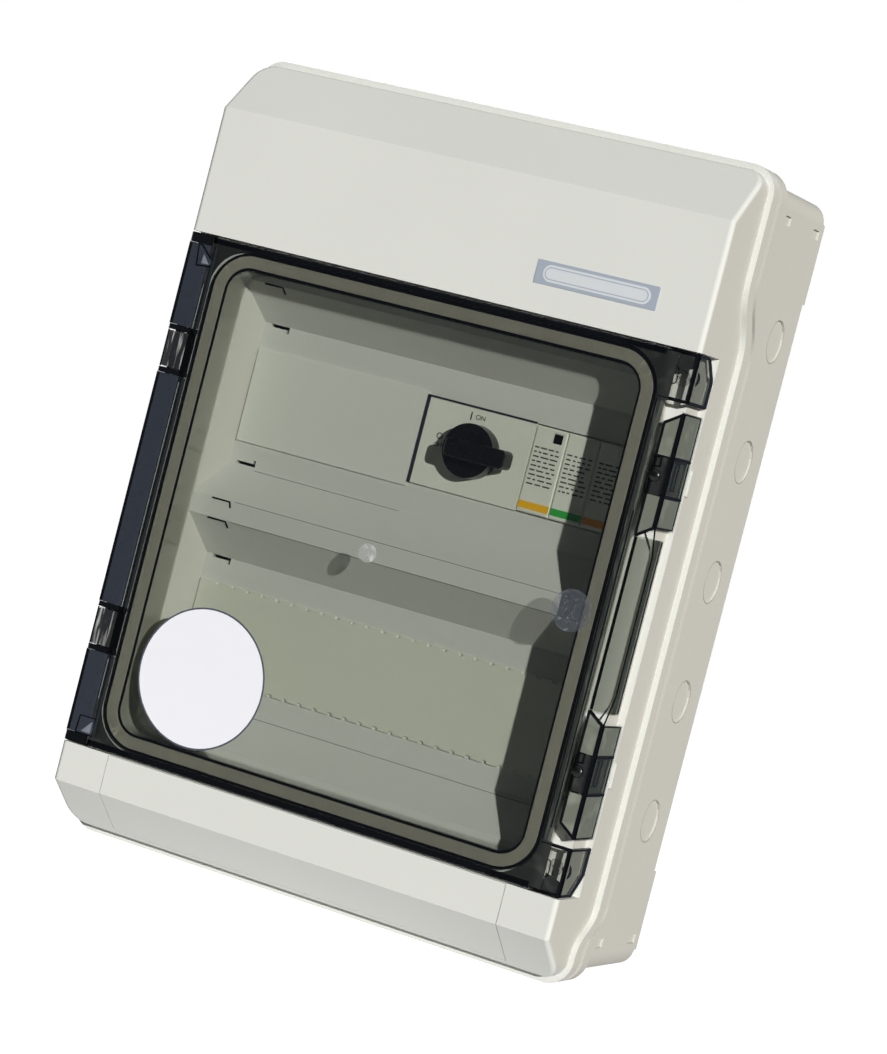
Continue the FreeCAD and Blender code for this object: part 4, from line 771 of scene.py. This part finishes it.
def add_arrester_marks():
    """The stripes, the plain bars in place of print, and the windows of the three cartridges."""
    front = CARTRIDGE_FACE - 0.06
    lefts = [54.6 + 18.0 * step for step in range(3)]
    for left, material in zip(lefts, (amber, green, orange)):
        slabs("stripe_" + material.name, [box_outline(left + 0.3, 15.7, left + 17.2, 19.4)],
              front, CARTRIDGE_FACE + 0.1, material, "enclosure")
    random.seed(7)
    dashes = []
    for left in lefts:
        height = 47.0
        while height > 26.0:
            start = left + 1.6
            while start < left + 14.0:
                width = random.uniform(1.4, 4.6)
                end = min(start + width, left + 15.6)
                dashes.append(box_outline(start, height, end, height + 0.75))
                start = end + random.uniform(0.7, 1.5)
            height -= 2.35
    slabs("arrester_print", dashes, front, CARTRIDGE_FACE + 0.05, ink_and_fold_shade,
          "enclosure")
    # The first cartridge's window shows dark, the other two show pale
    pale = materials["device_plastic"]
    windows = (("1", 0.45, black_and_painted_shade), ("2", 0.02, pale), ("3", 0.02, pale))
    for left, (number, sunk, material) in zip(lefts, windows):
        slabs("window_pane_" + number, [box_outline(left + 10.35, 50.9, left + 15.35, 55.9)],
              CARTRIDGE_FACE + sunk, CARTRIDGE_FACE + 0.8, material,
              "enclosure")


add_badge()
add_pane_marks()
add_gasket_lines()
add_strip_shades()
add_corner_crests()
add_strip_lines()
add_corner_lines()
add_latch_lines()
add_latch_faces()
add_latch_bosses()
add_corner_shades()
add_side_trims()
add_tray_marks()
add_knockout_rings()
add_switch_marks()
add_arrester_marks()


# Stage

def make_camera():
    data = bpy.data.cameras.new("view")
    data.lens = LENS
    data.sensor_fit = "VERTICAL"
    data.sensor_height = SENSOR
    data.clip_start = 0.05
    camera = bpy.data.objects.new("view", data)
    turn = Matrix.Rotation(math.radians(VIEW_AZIMUTH), 4, "Z")
    tilt = Matrix.Rotation(math.radians(90 - VIEW_ELEVATION), 4, "X")
    roll = Matrix.Rotation(math.radians(VIEW_ROLL), 4, "Z")
    camera.matrix_world = Matrix.Translation(CAMERA_PLACE) @ turn @ tilt @ roll
    bpy.context.scene.collection.objects.link(camera)
    bpy.context.scene.camera = camera


def make_sun(name, travel, strength, angle, colour=(1.0, 1.0, 1.0)):
    data = bpy.data.lights.new(name, "SUN")
    data.energy = strength
    data.angle = math.radians(angle)
    data.color = colour
    sun = bpy.data.objects.new(name, data)
    sun.rotation_euler = Vector(travel).to_track_quat("-Z", "Y").to_euler()
    bpy.context.scene.collection.objects.link(sun)


def make_bounce():
    data = bpy.data.lights.new("bounce", "AREA")
    data.shape = "RECTANGLE"
    data.size, data.size_y = BOUNCE_SIZE
    data.energy = BOUNCE_WATTS
    bounce = bpy.data.objects.new("bounce", data)
    bounce.location = (0.0, -0.10, FLOOR_HEIGHT + 0.03)
    bounce.rotation_euler = (math.pi, 0, 0)
    bounce.visible_camera = False
    bounce.visible_glossy = False
    bpy.context.scene.collection.objects.link(bounce)


def shown_factor(tree):
    """One for what the camera sees, straight or in a mirror or through glass."""
    path = add(tree, "ShaderNodeLightPath").outputs
    shiny = math_node(tree, "MAXIMUM", path["Is Glossy Ray"], path["Is Transmission Ray"])
    return math_node(tree, "MAXIMUM", path["Is Camera Ray"], shiny)


def make_world():
    """A white backdrop that lights the object only weakly."""
    world = bpy.data.worlds.new("studio")
    bpy.context.scene.world = world
    world.use_nodes = True
    tree = world.node_tree
    tree.nodes.clear()
    output = tree.nodes.new("ShaderNodeOutputWorld")
    fill = add(tree, "ShaderNodeBackground",
               {"Color": (0.74, 0.88, 1.0, 1), "Strength": FILL_STRENGTH})
    backdrop = add(tree, "ShaderNodeBackground", {"Color": (1, 1, 1, 1), "Strength": 1.0})
    tree.links.new(mix_shaders(tree, shown_factor(tree), fill, backdrop),
                   output.inputs["Surface"])


def stage_object(name, spots, faces, material):
    mesh = bpy.data.meshes.new(name)
    mesh.from_pydata(spots, [], faces)
    mesh.materials.append(material)
    item = bpy.data.objects.new(name, mesh)
    bpy.context.scene.collection.objects.link(item)
    return item


def make_floor():
    """A pale floor that shows white and keeps the object's shadow."""
    material, tree, output = new_material("floor")
    shade = blend_colours(tree, noise(tree, 3.0, 2.0), (0.30, 0.30, 0.30), (0.32, 0.32, 0.32))
    ground = add(tree, "ShaderNodeBsdfDiffuse", {"Color": shade})
    light = add(tree, "ShaderNodeEmission", {"Color": (1, 1, 1, 1), "Strength": 0.93})
    both = add(tree, "ShaderNodeAddShader", {0: ground.outputs[0], 1: light.outputs[0]})
    tree.links.new(mix_shaders(tree, shown_factor(tree), ground, both), output.inputs["Surface"])
    corners = [(-FLOOR_REACH, -FLOOR_REACH), (FLOOR_REACH, -FLOOR_REACH),
               (FLOOR_REACH, FLOOR_REACH), (-FLOOR_REACH, FLOOR_REACH)]
    floor = stage_object("floor", [(x, y, FLOOR_HEIGHT) for x, y in corners], [(0, 1, 2, 3)],
                         material)


def make_flag():
    """A dark ring round the object, which only mirrors show, so that the pane isn't milky."""
    material, tree, output = new_material("flag")
    shade = blend_colours(tree, noise(tree, 1.5, 2.0), (0.07, 0.085, 0.11), (0.11, 0.13, 0.17))
    glow = add(tree, "ShaderNodeEmission", {"Color": shade, "Strength": 1.0})
    tree.links.new(glow.outputs[0], output.inputs["Surface"])
    spots, faces = [], []
    for step in range(FLAG_STEPS + 1):
        turn = math.radians(360 * step / FLAG_STEPS - 180)
        for height in FLAG_HEIGHTS:
            spots.append((FLAG_RADIUS * math.sin(turn), -FLAG_RADIUS * math.cos(turn), height))
        if step:
            base = 2 * step
            faces.append((base - 2, base, base + 1, base - 1))
    flag = stage_object("flag", spots, faces, material)
    for rays in ("camera", "diffuse", "transmission", "volume_scatter", "shadow"):
        setattr(flag, "visible_" + rays, False)


make_camera()
make_sun("sun", SUN_TRAVEL, SUN_STRENGTH, SUN_ANGLE, (1.0, 0.99, 0.97))
make_sun("rear_sun", REAR_TRAVEL, REAR_STRENGTH, REAR_ANGLE)
make_bounce()
make_world()
make_floor()
make_flag()
bpy.context.scene.view_settings.view_transform = "Standard"
